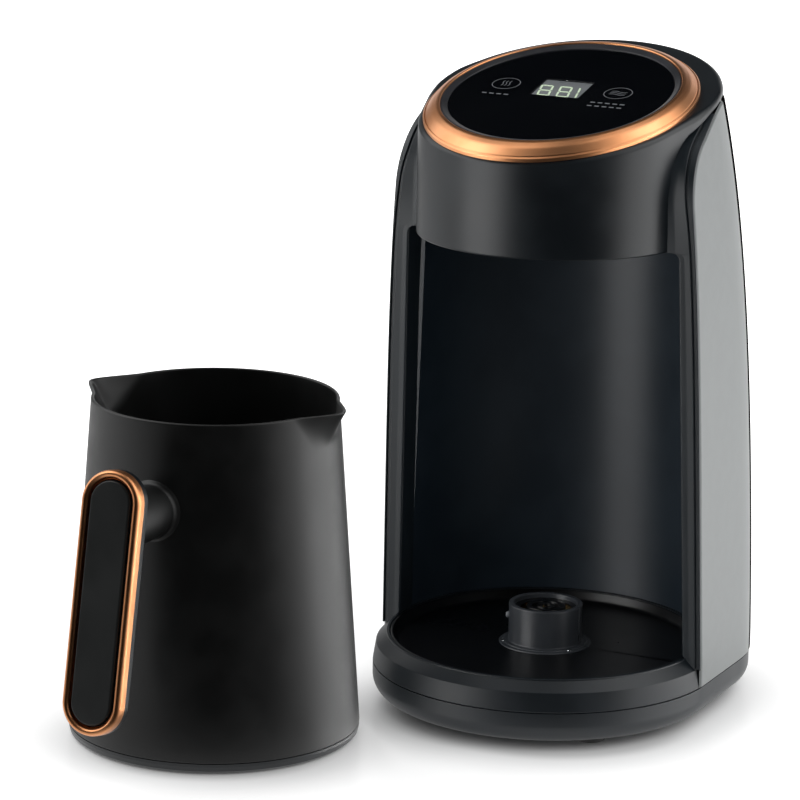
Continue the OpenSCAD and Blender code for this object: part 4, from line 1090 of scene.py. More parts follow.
@dataclass(frozen=True)
class Head:
    """Round drum over the pot bay, whose wall runs up to the sloping top and back to the crown.

    Attributes:
        form: the tower's form.
        drum_r: radius of the drum's front.
        crown_r: radius of its rear.
        crown_y: depth of the rear circle's middle.
        wall: thickness of the wall.
        lid_t: thickness of the top round the face's opening.
        hole: half sizes of that opening, across and along the slope.
        centre_y: depth of the point that the plan is seen from.
        step_y: depth where the lower edge steps up past the columns.
        top_radius: rounding of the upper edge.
        columns: points round the plan.
    """

    form: TowerForm = field(default_factory=TowerForm)
    drum_r: float = 56.7
    crown_r: float = 60.8
    crown_y: float = 15.5
    wall: float = 2.4
    lid_t: float = 2.0
    hole: Pair = (50.4, 56.2)
    centre_y: float = 8.0
    step_y: float = -13.0
    top_radius: float = 2.4
    columns: int = 420

    def outline(self) -> Outline:
        """Plan of the drum: two circles and the straight lines that touch both.

        A ray at each polar angle from a middle point meets each circle; past the touching angle the
        straight line lies outside both, so the outermost of the three distances is the outline.

        Returns:
            The outline.
        """
        touch = np.arcsin((self.crown_r - self.drum_r) / self.crown_y)
        a = circle(self.columns)
        step = self.step_y + np.array([-0.7, -0.5, -0.25, 0.0, 0.3])
        side = np.arctan2(step - self.centre_y, np.sqrt(self.drum_r**2 - step**2))
        a = np.unique(np.mod(np.concatenate([a, side, pi - side]), 2 * pi))
        d = stack(np.cos(a), np.sin(a))
        distances = []
        for radius, y in ((self.drum_r, 0.0), (self.crown_r, self.crown_y)):
            b = d[:, 1] * (self.centre_y - y)
            distances.append(-b + np.sqrt(b**2 - (self.centre_y - y) ** 2 + radius**2))
        normal = np.array([cos(touch), -sin(touch)])
        facing = np.abs(d[:, 0]) * normal[0] + d[:, 1] * normal[1]
        line = (self.drum_r - self.centre_y * normal[1]) / np.maximum(facing, 1e-6)
        hit = self.centre_y + line * d[:, 1]
        on_line = (hit > -self.drum_r * sin(touch)) & (hit < self.crown_y - self.crown_r * sin(touch))
        reach = np.where(on_line & (facing > 0), line, np.maximum(*distances))
        points = stack(reach * d[:, 0], self.centre_y + reach * d[:, 1])
        from_front, from_rear = points / self.drum_r, (points - [0, self.crown_y]) / self.crown_r
        flat = stack(np.sign(d[:, 0]) * normal[0], np.full(len(a), normal[1]))
        in_front = (distances[0] >= distances[1])[:, None]
        normals = np.where(on_line[:, None], flat, np.where(in_front, from_front, from_rear))
        return Outline(points, normals / np.linalg.norm(normals, axis=1, keepdims=True))

    def low_z(self, y: Array) -> Array:
        """Follows the drum's lower edge.

        Level at the bay's ceiling in front, then a step up past the columns, then half a millimetre
        clear of the arms, then along the lip, and level behind it.

        Args:
            y: place from front to back.

        Returns:
            The edge's height.
        """
        form = self.form
        z = np.linspace(form.arm_z, form.tip_z, 80)
        rise = form.lift(z) + form.gap + 0.1
        edge_y = form.front_y(z) - rise * np.cos(form.turn(z))
        edge_z = np.minimum(z + rise * np.sin(form.turn(z)), form.lip_z(edge_y))
        end = float(form.lip_z(np.array(form.lip_end)))
        order = np.maximum.accumulate(edge_y)
        ys = np.concatenate([[-99, self.step_y - 0.5], [self.step_y], order[1:], [form.lip_end, 99]])
        zs = np.concatenate([[form.bay_top, form.bay_top], edge_z, [end, end]])
        return np.interp(y, ys, zs)

    def build(self, shop: Workshop) -> None:
        """Builds the drum as closed, rounded sections carried round its plan."""
        form, plan = self.form, self.outline()
        outer, inner = plan.points, plan.points - plan.normals * self.wall
        ray = outer - [0, self.centre_y]
        ray = ray / np.linalg.norm(ray, axis=1, keepdims=True)
        half = np.array([self.hole[0], self.hole[1] * cos(radians(form.face_tilt))])
        start = np.array([0, self.centre_y - form.face_y]) / half
        step = ray / half
        aa, bb, cc = (step**2).sum(1), (step * start).sum(1), (start**2).sum() - 1
        far = (-bb + np.sqrt(bb**2 - aa * cc)) / aa
        hole = np.array([0, self.centre_y]) + ray * far[:, None]
        low, top = self.low_z(outer[:, 1]), form.face_top(outer[:, 1])
        lid = form.face_top(hole[:, 1])
        corners = np.stack([
            np.column_stack([inner, low]), np.column_stack([outer, low]), np.column_stack([outer, top]),
            np.column_stack([hole, lid]), np.column_stack([hole, lid - self.lid_t]),
            np.column_stack([inner, np.maximum(form.face_top(inner[:, 1]) - self.wall, low + 0.3)])], axis=1)
        arc = 6
        section = soften(corners, (0.4, 0.8, self.top_radius, 0.0, 0.0, 0.0), arc)
        edge = 3 * (arc + 1)
        across_top = np.linspace(section[:, edge - 1], section[:, edge], 6).swapaxes(0, 1)
        rings = np.concatenate([section[:, :edge], across_top, section[:, edge:]], axis=1)
        drum = Skin().grid(rings, ring_rows=True, ring_cols=True).piece("head_drum")
        shop.mount(drum, Body.TOWER, SATIN, "head_shell")


# ---------------- control face


@dataclass(frozen=True)
class ControlFace:
    """Tilted oval face: copper ring, bezel, glass, display and touch marks.

    Attributes:
        form: the tower's form.
        half_w: half the oval's width.
        half_l: half its length along the slope.
        side_w: width of the copper ring at the sides.
        end_w: width of the copper ring at the ends.
        glass_top: height of the glass over the face.
        glass_t: thickness of the glass.
        window: width and length of the display window.
        window_at: its middle on the face.
        digit: width and height of a numeral.
        digit_at: middle of the numerals, from the window's.
        digit_pitch: distance between numerals.
        digit_lean: slant of the numerals.
        stroke: width of a numeral's segments.
        mark_reach: distance of the touch fields from the window's middle.
        mark_r: radius of their rings.
        steps: points round the oval.
    """

    form: TowerForm = field(default_factory=TowerForm)
    half_w: float = 55.2
    half_l: float = 62.6
    side_w: float = 6.9
    end_w: float = 9.2
    glass_top: float = 4.2
    glass_t: float = 3.0
    window: Pair = (21.0, 17.2)
    window_at: Pair = (-2.0, 5.6)
    digit: Pair = (5.6, 10.8)
    digit_at: Pair = (2.1, -2.7)
    digit_pitch: float = 8.4
    digit_lean: float = 0.2
    stroke: float = 0.8
    mark_reach: float = 24.8
    mark_r: float = 5.8
    steps: int = 200

    def oval(self, share: Array, height: Array) -> Array:
        """Carries a section round the oval.

        Args:
            share: how far in each point lies, 0 at the copper ring's edge and 1 at its inner edge.
            height: how far out of the face it lies.

        Returns:
            A grid, with a row for each point.
        """
        a = circle(self.steps)
        u = (self.half_w - share[:, None] * self.side_w) * np.cos(a)
        v = (self.half_l - share[:, None] * self.end_w) * np.sin(a)
        return self.on_face(stack(u, v, height[:, None]))

    def on_face(self, points: Array) -> Array:
        """Places points of [right, up the slope, out of the face] on the tilted face."""
        return placed(points, (0, self.form.face_y, self.form.face_z), self.form.face_tilt)

    def ring(self, corners: Sequence[Sequence[float]], radii: Sequence[float]) -> Skin:
        """Makes a closed ring.

        Args:
            corners: its section's corners, as [share, height].
            radii: their radii in millimetres.

        Returns:
            The ring.
        """
        wide = 8.0  # the copper ring's mean width, which a share of 1 stands for
        section = np.array(corners, float) * [wide, 1]
        section = soften(section, radii) / [wide, 1]
        return Skin().grid(self.oval(section[:, 0], section[:, 1]), ring_rows=True, ring_cols=True)

    def window_loops(self, radius: float, *rows: Pair) -> Array:
        """Stacks the window's outline, a level rounded rectangle.

        Args:
            radius: radius of its corners.
            rows: how far each loop lies outside the window, and its height out of the face.

        Returns:
            A grid with a row for each loop.
        """
        loops = []
        for out, h in rows:
            w, l = self.window[0] + 2 * out, self.window[1] + 2 * out
            loop = soften(np.array([[-w, -l], [w, -l], [w, l], [-w, l]]) / 2, [radius] * 4, 6)
            loop = loop + np.array(self.window_at)
            loops.append(self.on_face(stack(loop[:, 0], loop[:, 1], h)))
        return np.stack(loops)

    def ring_pieces(self, shop: Workshop) -> None:
        """Builds the copper ring, with a bead along its outer edge, and the bezel inside it."""
        copper = self.ring([[0, 0.03], [0, 1.35], [0.1, 1.95], [0.125, 1.6], [0.17, 2.15], [0.5, 4.55],
                            [0.8, 5.7], [0.97, 5.85], [1, 5.5], [1, 0.03]],
                           [0, 0.35, 0.3, 0.1, 0.25, 6, 4, 0.35, 0.2, 0])
        shop.mount(copper.piece("copper_ring"), Body.TOWER, COPPER, "trim_ring")
        bezel = self.ring([[1.02, 0.03], [1.02, 5.3], [1.1, 5.45], [1.4, 4.5], [1.4, 1.1], [1.9, 1.1],
                           [1.9, 0.03]], [0, 0.2, 0.6, 0.3, 0, 0, 0])
        shop.mount(bezel.piece("bezel"), Body.TOWER, BEZEL, "bezel_ring")

    def glass(self, shop: Workshop) -> None:
        """Builds the glass: an oval plate with a rectangular hole, both with eased edges."""
        low = self.glass_top - self.glass_t
        share = np.array([1.44, 1.425, 1.42, 1.42])
        height = np.array([self.glass_top, self.glass_top - 0.1, self.glass_top - 0.3, low])
        rim = self.oval(share, height)
        hole = self.window_loops(0.6, (0.25, self.glass_top), (0.13, self.glass_top - 0.08),
                                 (0.1, self.glass_top - 0.25), (0.1, low))
        skin = Skin().grid(rim, ring_cols=True).grid(hole, ring_cols=True)
        skin.sheet(rim[0], hole[0]).sheet(rim[-1], hole[-1])
        shop.mount(skin.piece("glass_plate"), Body.TOWER, GLASS, "touch_glass")

    def display(self, shop: Workshop) -> None:
        """Builds the smoked window and the lit segments of three numerals on it.

        A segment is a six-cornered bar. Two numerals show all seven, the third one its left pair.
        """
        top = self.glass_top - 0.5
        lens = self.window_loops(0.5, (-0.25, top), (-0.07, top - 0.07), (0, top - 0.25), (0, top - 1.4))
        shop.mount(Skin().bar(lens).piece("display_lens"), Body.TOWER, SMOKED, "display_window")
        bars = Skin()
        wide, tall = self.digit
        half = tall / 2
        inset = self.stroke / 2
        level = [(0.0, k * (half - inset)) for k in (1, 0, -1)]
        upright = [(s * (wide / 2 - inset), t * half / 2) for s in (-1, 1) for t in (1, -1)]
        for number, shown in enumerate(("all", "all", "left")):
            places = [(p, wide - 2 * inset, 0) for p in level] + [(p, half - inset, 1) for p in upright]
            if shown == "left":
                places = places[3:5]
            for (u, v), length, up in places:
                reach, thick = length / 2 - 0.12, self.stroke / 2
                bar = np.array([[-reach, 0], [thick - reach, -thick], [reach - thick, -thick], [reach, 0],
                                [reach - thick, thick], [thick - reach, thick]])
                bar = (bar[:, ::-1] if up else bar) + [u, v]
                bar[:, 0] += (number - 1) * self.digit_pitch - self.digit_lean * bar[:, 1]
                bar = bar + self.window_at + self.digit_at
                faces = [np.column_stack([bar, np.full(6, h)]) for h in (top, top + 0.2)]
                bars.bar(self.on_face(np.stack(faces)))
        shop.mount(bars.piece("lit_digits", 20), Body.TOWER, LIT, "display_digits")

    def ribbon(self, skin: Skin, path: Array, width: float, closed: bool = False) -> None:
        """Adds a printed line: a thin box carried along a path on the glass.

        Args:
            skin: where the line goes.
            path: points of [right, up] along the line.
            width: width of the line.
            closed: joins the end to the start.
        """
        ahead = np.roll(path, -1, axis=0) - np.roll(path, 1, axis=0) if closed else np.gradient(path, axis=0)
        ahead = ahead / np.linalg.norm(ahead, axis=1, keepdims=True)
        side = np.column_stack([-ahead[:, 1], ahead[:, 0]]) * width / 2
        low, high = self.glass_top - 0.05, self.glass_top + 0.03
        loops = [np.column_stack([path + s * side, np.full(len(path), h)])
                 for s, h in ((-1, low), (-1, high), (1, high), (1, low))]
        rows = self.on_face(np.stack(loops, axis=1))
        skin.grid(rows, ring_rows=closed, ring_cols=True)
        if not closed:
            skin.sheet(rows[0]).sheet(rows[-1])

    def marks(self, shop: Workshop) -> None:
        """Builds the touch fields' printed marks: a ring each, plain strokes in it, dashes below."""
        skin = Skin()
        a = circle(72)
        s = np.linspace(0, 1, 13)
        u0, v0 = self.window_at
        for hand in (-1, 1):
            at = np.array([u0 + hand * self.mark_reach, v0 - 0.2])
            self.ribbon(skin, at + self.mark_r * stack(np.cos(a), np.sin(a)), 0.3, True)
            for k in (-1, 0, 1):
                if hand < 0:
                    stroke = stack(1.5 * k + 0.35 * np.sin(2 * pi * s), 5.2 * s - 2.4)
                else:
                    stroke = stack(7.0 * s - 3.5, 1.5 * k + 0.45 * np.sin(2 * pi * s))
                self.ribbon(skin, at + stroke, 0.3)
            for row in range(1 if hand < 0 else 2):
                for k in range(4 if hand < 0 else 5):
                    place = at + [(k - (1.5 if hand < 0 else 2)) * 3.2, -11.3 - 3.6 * row]
                    self.ribbon(skin, place + stack(2.0 * s - 1.0, 0 * s), 0.9)
        shop.mount(skin.piece("touch_marks", 20), Body.TOWER, PRINT)

    def build(self, shop: Workshop) -> None:
        """Builds every piece of the face."""
        self.ring_pieces(shop)
        self.glass(shop)
        self.display(shop)
        self.marks(shop)


# ---------------- base


@dataclass(frozen=True)
class Base:
    """Bottom pan, base cover, dish and feet.

    Attributes:
        radius: radius of the plan's round front, and half its width.
        rear_y: depth of the plan's back.
        corner_r: radius of its rear corners.
        pan_z: height of the pan's underside.
        pan_round: radius of the pan's lower edge.
        seam_z: height of the pan's upper edge.
        cup_r: radius of the cups for the pan's screws.
        cup_h: depth of those cups.
        cover_z: height of the cover's lower edge.
        crease_z: height of the cover's crease.
        crease_in: how far the crease stands inside the plan.
        rim_z: height of the rim round the dish.
        rim_r: radius of the rim's crest.
        well_r: radius of the well that the dish lies in.
        front_y: depth at which the panels cut the cover's front.
        screws: places of the pan's screws.
        feet: places of the feet.
    """

    radius: float = 72.0
    rear_y: float = 94.5
    corner_r: float = 53.5
    pan_z: float = 2.4
    pan_round: float = 8.0
    seam_z: float = 15.8
    cup_r: float = 3.3
    cup_h: float = 2.0
    cover_z: float = 15.95
    crease_z: float = 24.0
    crease_in: float = 1.3
    rim_z: float = 28.5
    rim_r: float = 65.6
    well_r: float = 65.0
    front_y: float = -5.7
    screws: tuple[Pair, ...] = ((48, -26), (-48, -26), (50, 52), (-50, 52))
    feet: tuple[Pair, ...] = ((39, -42), (-39, -42), (44, 70), (-44, 70))

    def plan(self) -> Outline:
        """Works out the base's plan.

        Returns:
            The outline: a half circle in front, straight sides and two rear corners.
        """
        arc = np.linspace(pi, 2 * pi, 161)
        corner = np.linspace(0, pi / 2, 61)
        side = np.linspace(0, 1, 10)[1:-1]
        straight = self.rear_y - self.corner_r
        x0 = self.radius - self.corner_r
        parts = [
            (self.radius * np.cos(arc), self.radius * np.sin(arc), np.cos(arc), np.sin(arc)),
            (self.radius + 0 * side, straight * side, 1 + 0 * side, 0 * side),
            (x0 + self.corner_r * np.cos(corner), straight + self.corner_r * np.sin(corner), np.cos(corner),
             np.sin(corner)),
            (x0 - 2 * x0 * side, self.rear_y + 0 * side, 0 * side, 1 + 0 * side),
            (-x0 - self.corner_r * np.sin(corner), straight + self.corner_r * np.cos(corner), -np.sin(corner),
             np.cos(corner)),
            (-self.radius + 0 * side, straight * (1 - side), -1 + 0 * side, 0 * side)]
        x, y, nx, ny = (np.concatenate(column) for column in zip(*parts))
        return Outline(stack(x, y), stack(nx, ny))

    def pan(self, shop: Workshop) -> None:
        """Builds the pan: a rounded shell carried round the plan, with the screws' cups below.

        Its lower edge is a quarter circle; the flat floor has round holes, and each hole leads into a
        cup with a level floor.
        """
        low, seam = self.pan_z, self.seam_z
        a = np.linspace(0, pi / 2, 17)[::-1]
        edge = stack(self.pan_round * (1 - np.sin(a)), low + self.pan_round * (1 - np.cos(a)))
        wall = [[9.0, seam - 3], [2.2, seam - 3], [2.2, seam - 0.1], [2.0, seam], [0.25, seam],
                [0.06, seam - 0.08], [0, seam - 0.3]]
        shell = self.plan().carry(np.vstack([wall, edge]))
        skin = Skin().grid(shell, ring_cols=True)
        cup = turned(np.array([[self.cup_r, low], [self.cup_r, low + self.cup_h]]), 40)
        holes = [cup + [x, y, 0] for x, y in self.screws]
        skin.sheet(shell[-1], *[h[0] for h in holes]).sheet(shell[0])
        for hole in holes:
            skin.grid(hole, ring_cols=True).sheet(hole[1])
        shop.mount(skin.piece("pan_shell"), Body.TOWER, BASE_BLACK, "bottom_pan")

    def cover(self, shop: Workshop) -> None:
        """Builds the cover's round front, cut straight at the panels, and the ring round the dish.

        Each corner of the section runs on its own arc, from where it meets the cut on the right to
        where it meets it on the left.
        """
        corners = np.array([[self.well_r, self.cover_z], [self.radius, self.cover_z],
                            [self.radius - self.crease_in, self.crease_z], [self.rim_r, self.rim_z],
                            [self.well_r, self.rim_z]])
        section = soften(corners, (0.2, 0.45, 0.5, 0.5, 0.3), 5)
        r, z = section[:, :1], section[:, 1:]
        share = np.linspace(0, 1, 181)[None, :]
        start = -np.arcsin(-self.front_y / r)
        a = start + (-pi - 2 * start) * share
        front = stack(r * np.cos(a), r * np.sin(a), z)
        skin = Skin().grid(front, ring_rows=True).sheet(front[:, 0]).sheet(front[:, -1])
        skin.grid(lathe([[64.95, 20], [66.4, 20], [66.4, 28.45], [64.95, 28.45]], (0, 0, 0.3, 0.3)))
        shop.mount(skin.piece("cover_front"), Body.TOWER, BASE_BLACK, "base_cover")

    def dish(self, shop: Workshop) -> None:
        """Builds the glossy dish: a flat floor that curves up into a short flared wall."""
        grid = lathe([[14.3, 23.5], [64.8, 23.5], [64.8, 28.3], [63.7, 28.3], [62.0, 24.3], [14.3, 24.3]],
                     (0, 0.8, 0.45, 0.35, 1.6, 0.2), 200)
        shop.mount(Skin().grid(grid).piece("dish"), Body.TOWER, GLOSS, "tray_dish")

    def feet_piece(self, shop: Workshop) -> None:
        """Builds the four feet: low rubber discs with a rubbed-down lower edge and a sunk middle."""
        skin = Skin()
        foot = lathe([[0, 0.5], [3.4, 0.5], [4.2, 0], [6.1, 0], [6.5, 1.0], [6.5, 2.4], [2.0, 2.4],
                      [2.0, 5.2], [0, 5.2]], (0, 0.3, 0.3, 0.5, 0.3, 0, 0, 0.3, 0), 48)
        for x, y in self.feet:
            skin.grid(foot + [x, y, 0])
        shop.mount(skin.piece("feet"), Body.TOWER, RUBBER, "rubber_feet")

    def build(self, shop: Workshop) -> None:
        """Builds every piece of the base."""
        self.pan(shop)
        self.cover(shop)
        self.dish(shop)
        self.feet_piece(shop)


@dataclass(frozen=True)
class Connector:
    """Round boss on the dish, with its ring slots and sprung plunger.

    Attributes:
        floor_z: height of the dish's floor.
        boss_r: radius of the boss.
        boss_z: height of its top.
        slot_z: height of the slots' floors.
        core_r: radius inside which the boss is polished.
        plunger_turn: direction in which the plunger points.
        plunger_z: height of its axis.
        travel: how far it can be pressed in; not used.
        spring_foot: distance of its spring's inner end from the boss's axis.
        spring_top: distance of the spring's outer end.
        spring_r: radius of the spring, to the wire's middle.
        spring_turns: turns of the spring.
        wire_r: radius of the wire.
    """

    floor_z: float = 24.3
    boss_r: float = 15.4
    boss_z: float = 41.3
    slot_z: float = 28.3
    core_r: float = 13.02
    plunger_turn: float = radians(205.5)
    plunger_z: float = 35.7
    travel: float = 0.8
    spring_foot: float = 11.4
    spring_top: float = 13.27
    spring_r: float = 1.35
    spring_turns: int = 3
    wire_r: float = 0.2

    def spring(self) -> Array:
        """Winds the plunger's spring.

        A round wire follows a helix: rows go round with its turns while the height rises evenly,
        columns go round the wire. The first and last row shrink to a point, which closes the ends.

        Returns:
            The wire's grid, laid along Z.
        """
        share = np.linspace(0, 1, 24 * self.spring_turns + 1)
        share = np.concatenate([share[:1], share, share[-1:]])[:, None]
        wire = np.full_like(share, self.wire_r)
        wire[[0, -1]] = 0
        angle = 2 * pi * self.spring_turns * share
        around = circle(8)[None, :]
        reach = self.spring_r + wire * np.cos(around)
        low, high = self.spring_foot + self.wire_r, self.spring_top - self.wire_r
        height = low + (high - low) * share + wire * np.sin(around)
        return stack(reach * np.cos(angle), reach * np.sin(angle), height)

    def in_core(self, x: Array, y: Array, z: Array) -> Array:
        """Tells which places of the housing lie inside its rim, where it is polished."""
        return (np.hypot(x, y) < self.core_r) & (z > self.slot_z - 1)

    def build(self, shop: Workshop) -> None:
        """Builds the housing, the rings that show in it, the plunger and its spring."""
        top, core = self.boss_z, self.boss_z - 1.2
        housing = lathe(
            [[0, 9], [14, 9], [14, self.floor_z], [19.3, self.floor_z], [18.9, 24.7], [17.5, 24.85],
             [17.3, 25.2], [15.4, 25.3], [self.boss_r, top], [13.1, top], [13.0, core - 0.9],
             [10.6, core - 0.9], [10.6, self.slot_z], [8.2, self.slot_z], [8.2, core], [5.7, core],
             [5.7, self.slot_z], [3.9, self.slot_z], [3.9, core], [2.0, core], [2.0, self.slot_z + 4],
             [0, self.slot_z + 4]],
            (0, 0, 0, 0, 0.3, 0.3, 0.3, 0.5, 0.6, 0.5, 0.2, 0.3, 0, 0, 0.5, 0.5, 0, 0, 0.5, 0.4, 0, 0), 144)
        boss = shop.mount(Skin().grid(housing).piece("boss"), Body.TOWER, BOSS, "connector_housing")
        shop.second(boss, CORE, self.in_core)
        turn = Matrix.Rotation(self.plunger_turn, 4, "Z") @ Matrix.Rotation(pi / 2, 4, "Y")
        rotation, axis_at = np.array(turn.to_3x3()), [0, 0, self.plunger_z]
        pin = lathe([[0, 13.3], [1.9, 13.3], [1.9, 14.35], [1.3, 14.35], [1.3, 16.1], [0.75, 16.6],
                     [0, 16.6]], (0, 0.1, 0.1, 0, 0.4, 0.3, 0), 40)
        pin = Skin().grid(pin @ rotation.T + axis_at).piece("plunger_pin")
        shop.mount(pin, Body.PLUNGER, GREY_PART, "presence_plunger")
        coil = Skin().grid(self.spring() @ rotation.T + axis_at, ring_cols=True).piece("plunger_coil")
        shop.mount(coil, Body.TOWER, STEEL, "plunger_spring")
        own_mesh(coil)


# ---------------- pot


@dataclass(frozen=True)
class Pot:
    """Tapered pot with two pinched spouts.

    Attributes:
        at: where its axis meets the table.
        height: height of the rim.
        foot_r: radius at the seam over the base cap.
        rim_r: radius at the rim, beside the spouts.
        wall: thickness of the wall and the floor.
        seam_z: height of the seam over the base cap.
        floor_z: height of the floor.
        fillet: radius between wall and floor.
        spout_r: distance of the spouts' points from the axis.
        spout_drop: height of the spouts.
        spout_half: half the angle that a spout takes at the rim.
        spout_ease: how much a spout's edge is eased, as a share of that angle.
        stud_z: height of the stud that takes the handle's screw.
        steps: points round the pot.
    """

    at: Triple = (-101.5, -102.5, 0.0)
    height: float = 139.5
    foot_r: float = 59.2
    rim_r: float = 49.7
    wall: float = 1.4
    seam_z: float = 4.6
    floor_z: float = 24.0
    fillet: float = 5.0
    spout_r: float = 58.0
    spout_drop: float = 15.0
    spout_half: float = 0.36
    spout_ease: float = 0.16
    stud_z: float = 104.0
    steps: int = 400

    def radius(self, z: Array) -> Array:
        """Radius of the plain cone at height z."""
        return self.foot_r - (self.foot_r - self.rim_r) * (z - self.seam_z) / (self.height - self.seam_z)

    def bulge(self, angle: Array, z: Array) -> Array:
        """Shapes the two spouts.

        With u the angle to the spout over its half width, which narrows downwards, the bulge is the
        reach times a power of one less u, with the point eased, and it fades below the rim.

        Args:
            angle: direction from the pot's axis.
            z: height.

        Returns:
            How far the spouts stand out from the cone there.
        """
        fade = np.clip((z - self.height + self.spout_drop) / self.spout_drop, 0, 1)
        away = np.abs((angle + pi / 2) % pi - pi / 2)
        half = self.spout_half * (0.45 + 0.55 * fade)
        u = np.sqrt((away / half) ** 2 + self.spout_ease**2) - self.spout_ease
        shape = np.clip(1 - u, 0, 1) ** 1.55
        return (self.spout_r - self.rim_r) * shape * fade**1.25

    def build(self, shop: Workshop) -> None:
        """Builds the pot's wall and floor as one closed skin, and the handle's stud inside it.

        The profile starts at the floor's middle, goes up the inside, over the rim, down the outside
        to the foot, and back under the floor to the middle. Each of its points is a height and a
        depth under the outside; the first and the last one lie on the axis.
        """
        angle = circle(self.steps)[None, :]
        floor, seam, wall = self.floor_z, self.seam_z, self.wall
        up = np.concatenate([np.linspace(floor + self.fillet, self.height - self.spout_drop, 12),
                             np.linspace(self.height - self.spout_drop + 0.8, self.height - 0.7, 18)])
        down = np.concatenate([up[::-1], [floor, 12.0, seam + 0.35, seam + 0.1, seam]])
        a = np.linspace(0, pi / 2, 7)
        rim, rim_a = wall / 2, np.linspace(0, pi, 9)
        z = np.concatenate([[floor], floor + self.fillet * (1 - np.cos(a)), up[1:],
                            self.height - rim + rim * np.sin(rim_a), down,
                            [seam, floor - wall, floor - wall]])[:, None]
        outside = np.zeros(len(down))
        outside[-2:] = 0.08, 0.3
        sink = np.concatenate([[0], wall + self.fillet * (1 - np.sin(a)), np.full(len(up) - 1, wall),
                               rim + rim * np.cos(rim_a), outside, [wall, wall, 0]])[:, None]
        r = self.radius(z) + self.bulge(angle, z) - sink
        r[[0, -1]] = 0
        grid = stack(r * np.cos(angle), r * np.sin(angle), z) + np.array(self.at)
        stud = lathe([[0, 0], [4, 0], [4, 9], [1.6, 9], [1.6, 2], [0, 2]], (0, 0, 0.4, 0.3, 0, 0), 40)
        stud_y = -(self.radius(np.array(self.stud_z)) - 0.7)
        stud = placed(stud, np.array(self.at) + [0, stud_y, self.stud_z], 90)
        skin = Skin().grid(grid, ring_cols=True).grid(stud)
        shop.mount(skin.piece("pot_wall"), Body.POT, COATING, "pot_body")


@dataclass(frozen=True)
class Handle:
    """Flat upright handle: neck, black grip, copper frame and black insert.

    Attributes:
        pot: the pot that it is on.
        length: length of the grip.
        width: width of the grip.
        thick: thickness of the grip.
        lean: how far it leans back, in degrees.
        out_y: distance of its middle from the pot's axis.
        mid_z: height of its middle.
        insert_in: how much smaller the insert is than the grip.
        neck_r: radius of the neck.
        neck_z: height of its axis.
        flare: how much wider the neck gets towards the pot's wall.
    """

    pot: Pot = field(default_factory=Pot)
    length: float = 103.0
    width: float = 25.5
    thick: float = 9.0
    lean: float = 11.3
    out_y: float = 88.0
    mid_z: float = 76.0
    insert_in: float = 8.0
    neck_r: float = 10.5
    neck_z: float = 104.0
    flare: float = 2.5

    def on_grip(self, points: Array) -> Array:
        """Places points of [right, up, out] on the leaning handle."""
        origin = np.array(self.pot.at) + [0, -self.out_y, self.mid_z]
        return placed(points, origin, 90 - self.lean)

    def frame(self, shop: Workshop) -> None:
        """Builds the copper frame: a half-round bar carried round the stadium, with an inner bead."""
        plan = Outline.stadium(self.width, self.length, 200)
        a = np.linspace(0, pi, 15)
        half = 1.55
        crest = stack(half - half * np.cos(a), 2.0 + 2.5 * np.sin(a) ** 0.85)
        bead = np.array([[3.15, 2.15], [3.25, 2.45], [3.45, 2.55], [3.6, 2.4], [3.6, 1.6], [3.6, -0.5],
                         [0, -0.5]])
        section = np.vstack([crest, bead])
        grid = self.on_grip(plan.carry(section))
        skin = Skin().grid(grid, ring_rows=True, ring_cols=True)
        shop.mount(skin.piece("handle_band"), Body.POT, COPPER, "handle_frame")

    def plates(self, shop: Workshop) -> None:
        """Builds the grip behind the frame and the insert within it."""
        back = -self.thick / 2
        plan = Outline.stadium(self.width, self.length, 160)
        half = np.linspace(0, pi / 2, 9)
        edge = stack(1.6 * (1 - np.sin(half)), back + 1.6 * (1 - np.cos(half)))
        section = np.vstack([edge, [[0.0, -0.5]], [[3.8, -0.5]], [[3.8, 2.5]]])
        skin = Skin().bar(self.on_grip(plan.carry(section)))
        shop.mount(skin.piece("grip_plate"), Body.POT, SATIN, "handle_grip")
        plan = Outline.stadium(self.width - self.insert_in, self.length - self.insert_in, 160)
        section = np.vstack([[[0.0, 2.5]], stack(0.9 * (1 - np.cos(half)), 3.2 + 0.9 * np.sin(half))])
        skin = Skin().bar(self.on_grip(plan.carry(section)))
        shop.mount(skin.piece("grip_insert"), Body.POT, INSERT, "handle_insert")

    def neck(self, shop: Workshop) -> None:
        """Builds the neck between pot and grip.

        Around the neck's axis runs one parameter. Along it the radius first falls on a quarter circle
        from the flare at the pot's wall, then stays. Each ring's depth lies between the wall's depth
        and the grip's back at the same place.
        """
        a = circle(96)[None, :]
        s = np.linspace(0, 1, 12)[:, None]
        plain = np.full((2, 1), self.neck_r)
        rho = np.concatenate([self.neck_r + self.flare * (1 - np.sqrt(1 - (1 - s) ** 2)), plain])
        x, z = rho * np.cos(a), self.neck_z + rho * np.sin(a)
        wall = -np.sqrt(self.pot.radius(z) ** 2 - x**2)
        tilt = radians(90 - self.lean)
        grip = -self.out_y + (self.thick / 2 + cos(tilt) * (z - self.mid_z)) / sin(tilt)
        y = wall - np.concatenate([self.flare * s, np.full((2, 1), self.flare)])
        y[0] = wall[0] + 0.7
        y[-1] = grip[-1] - 0.6
        y[-2] = grip[-2] + 1.0
        skin = Skin().bar(stack(x, y, z) + np.array(self.pot.at))
        shop.mount(skin.piece("neck"), Body.POT, COATING, "handle_neck")

    def build(self, shop: Workshop) -> None:
        """Builds every piece of the handle."""
        self.neck(shop)
        self.plates(shop)
        self.frame(shop)


# ---------------- screws


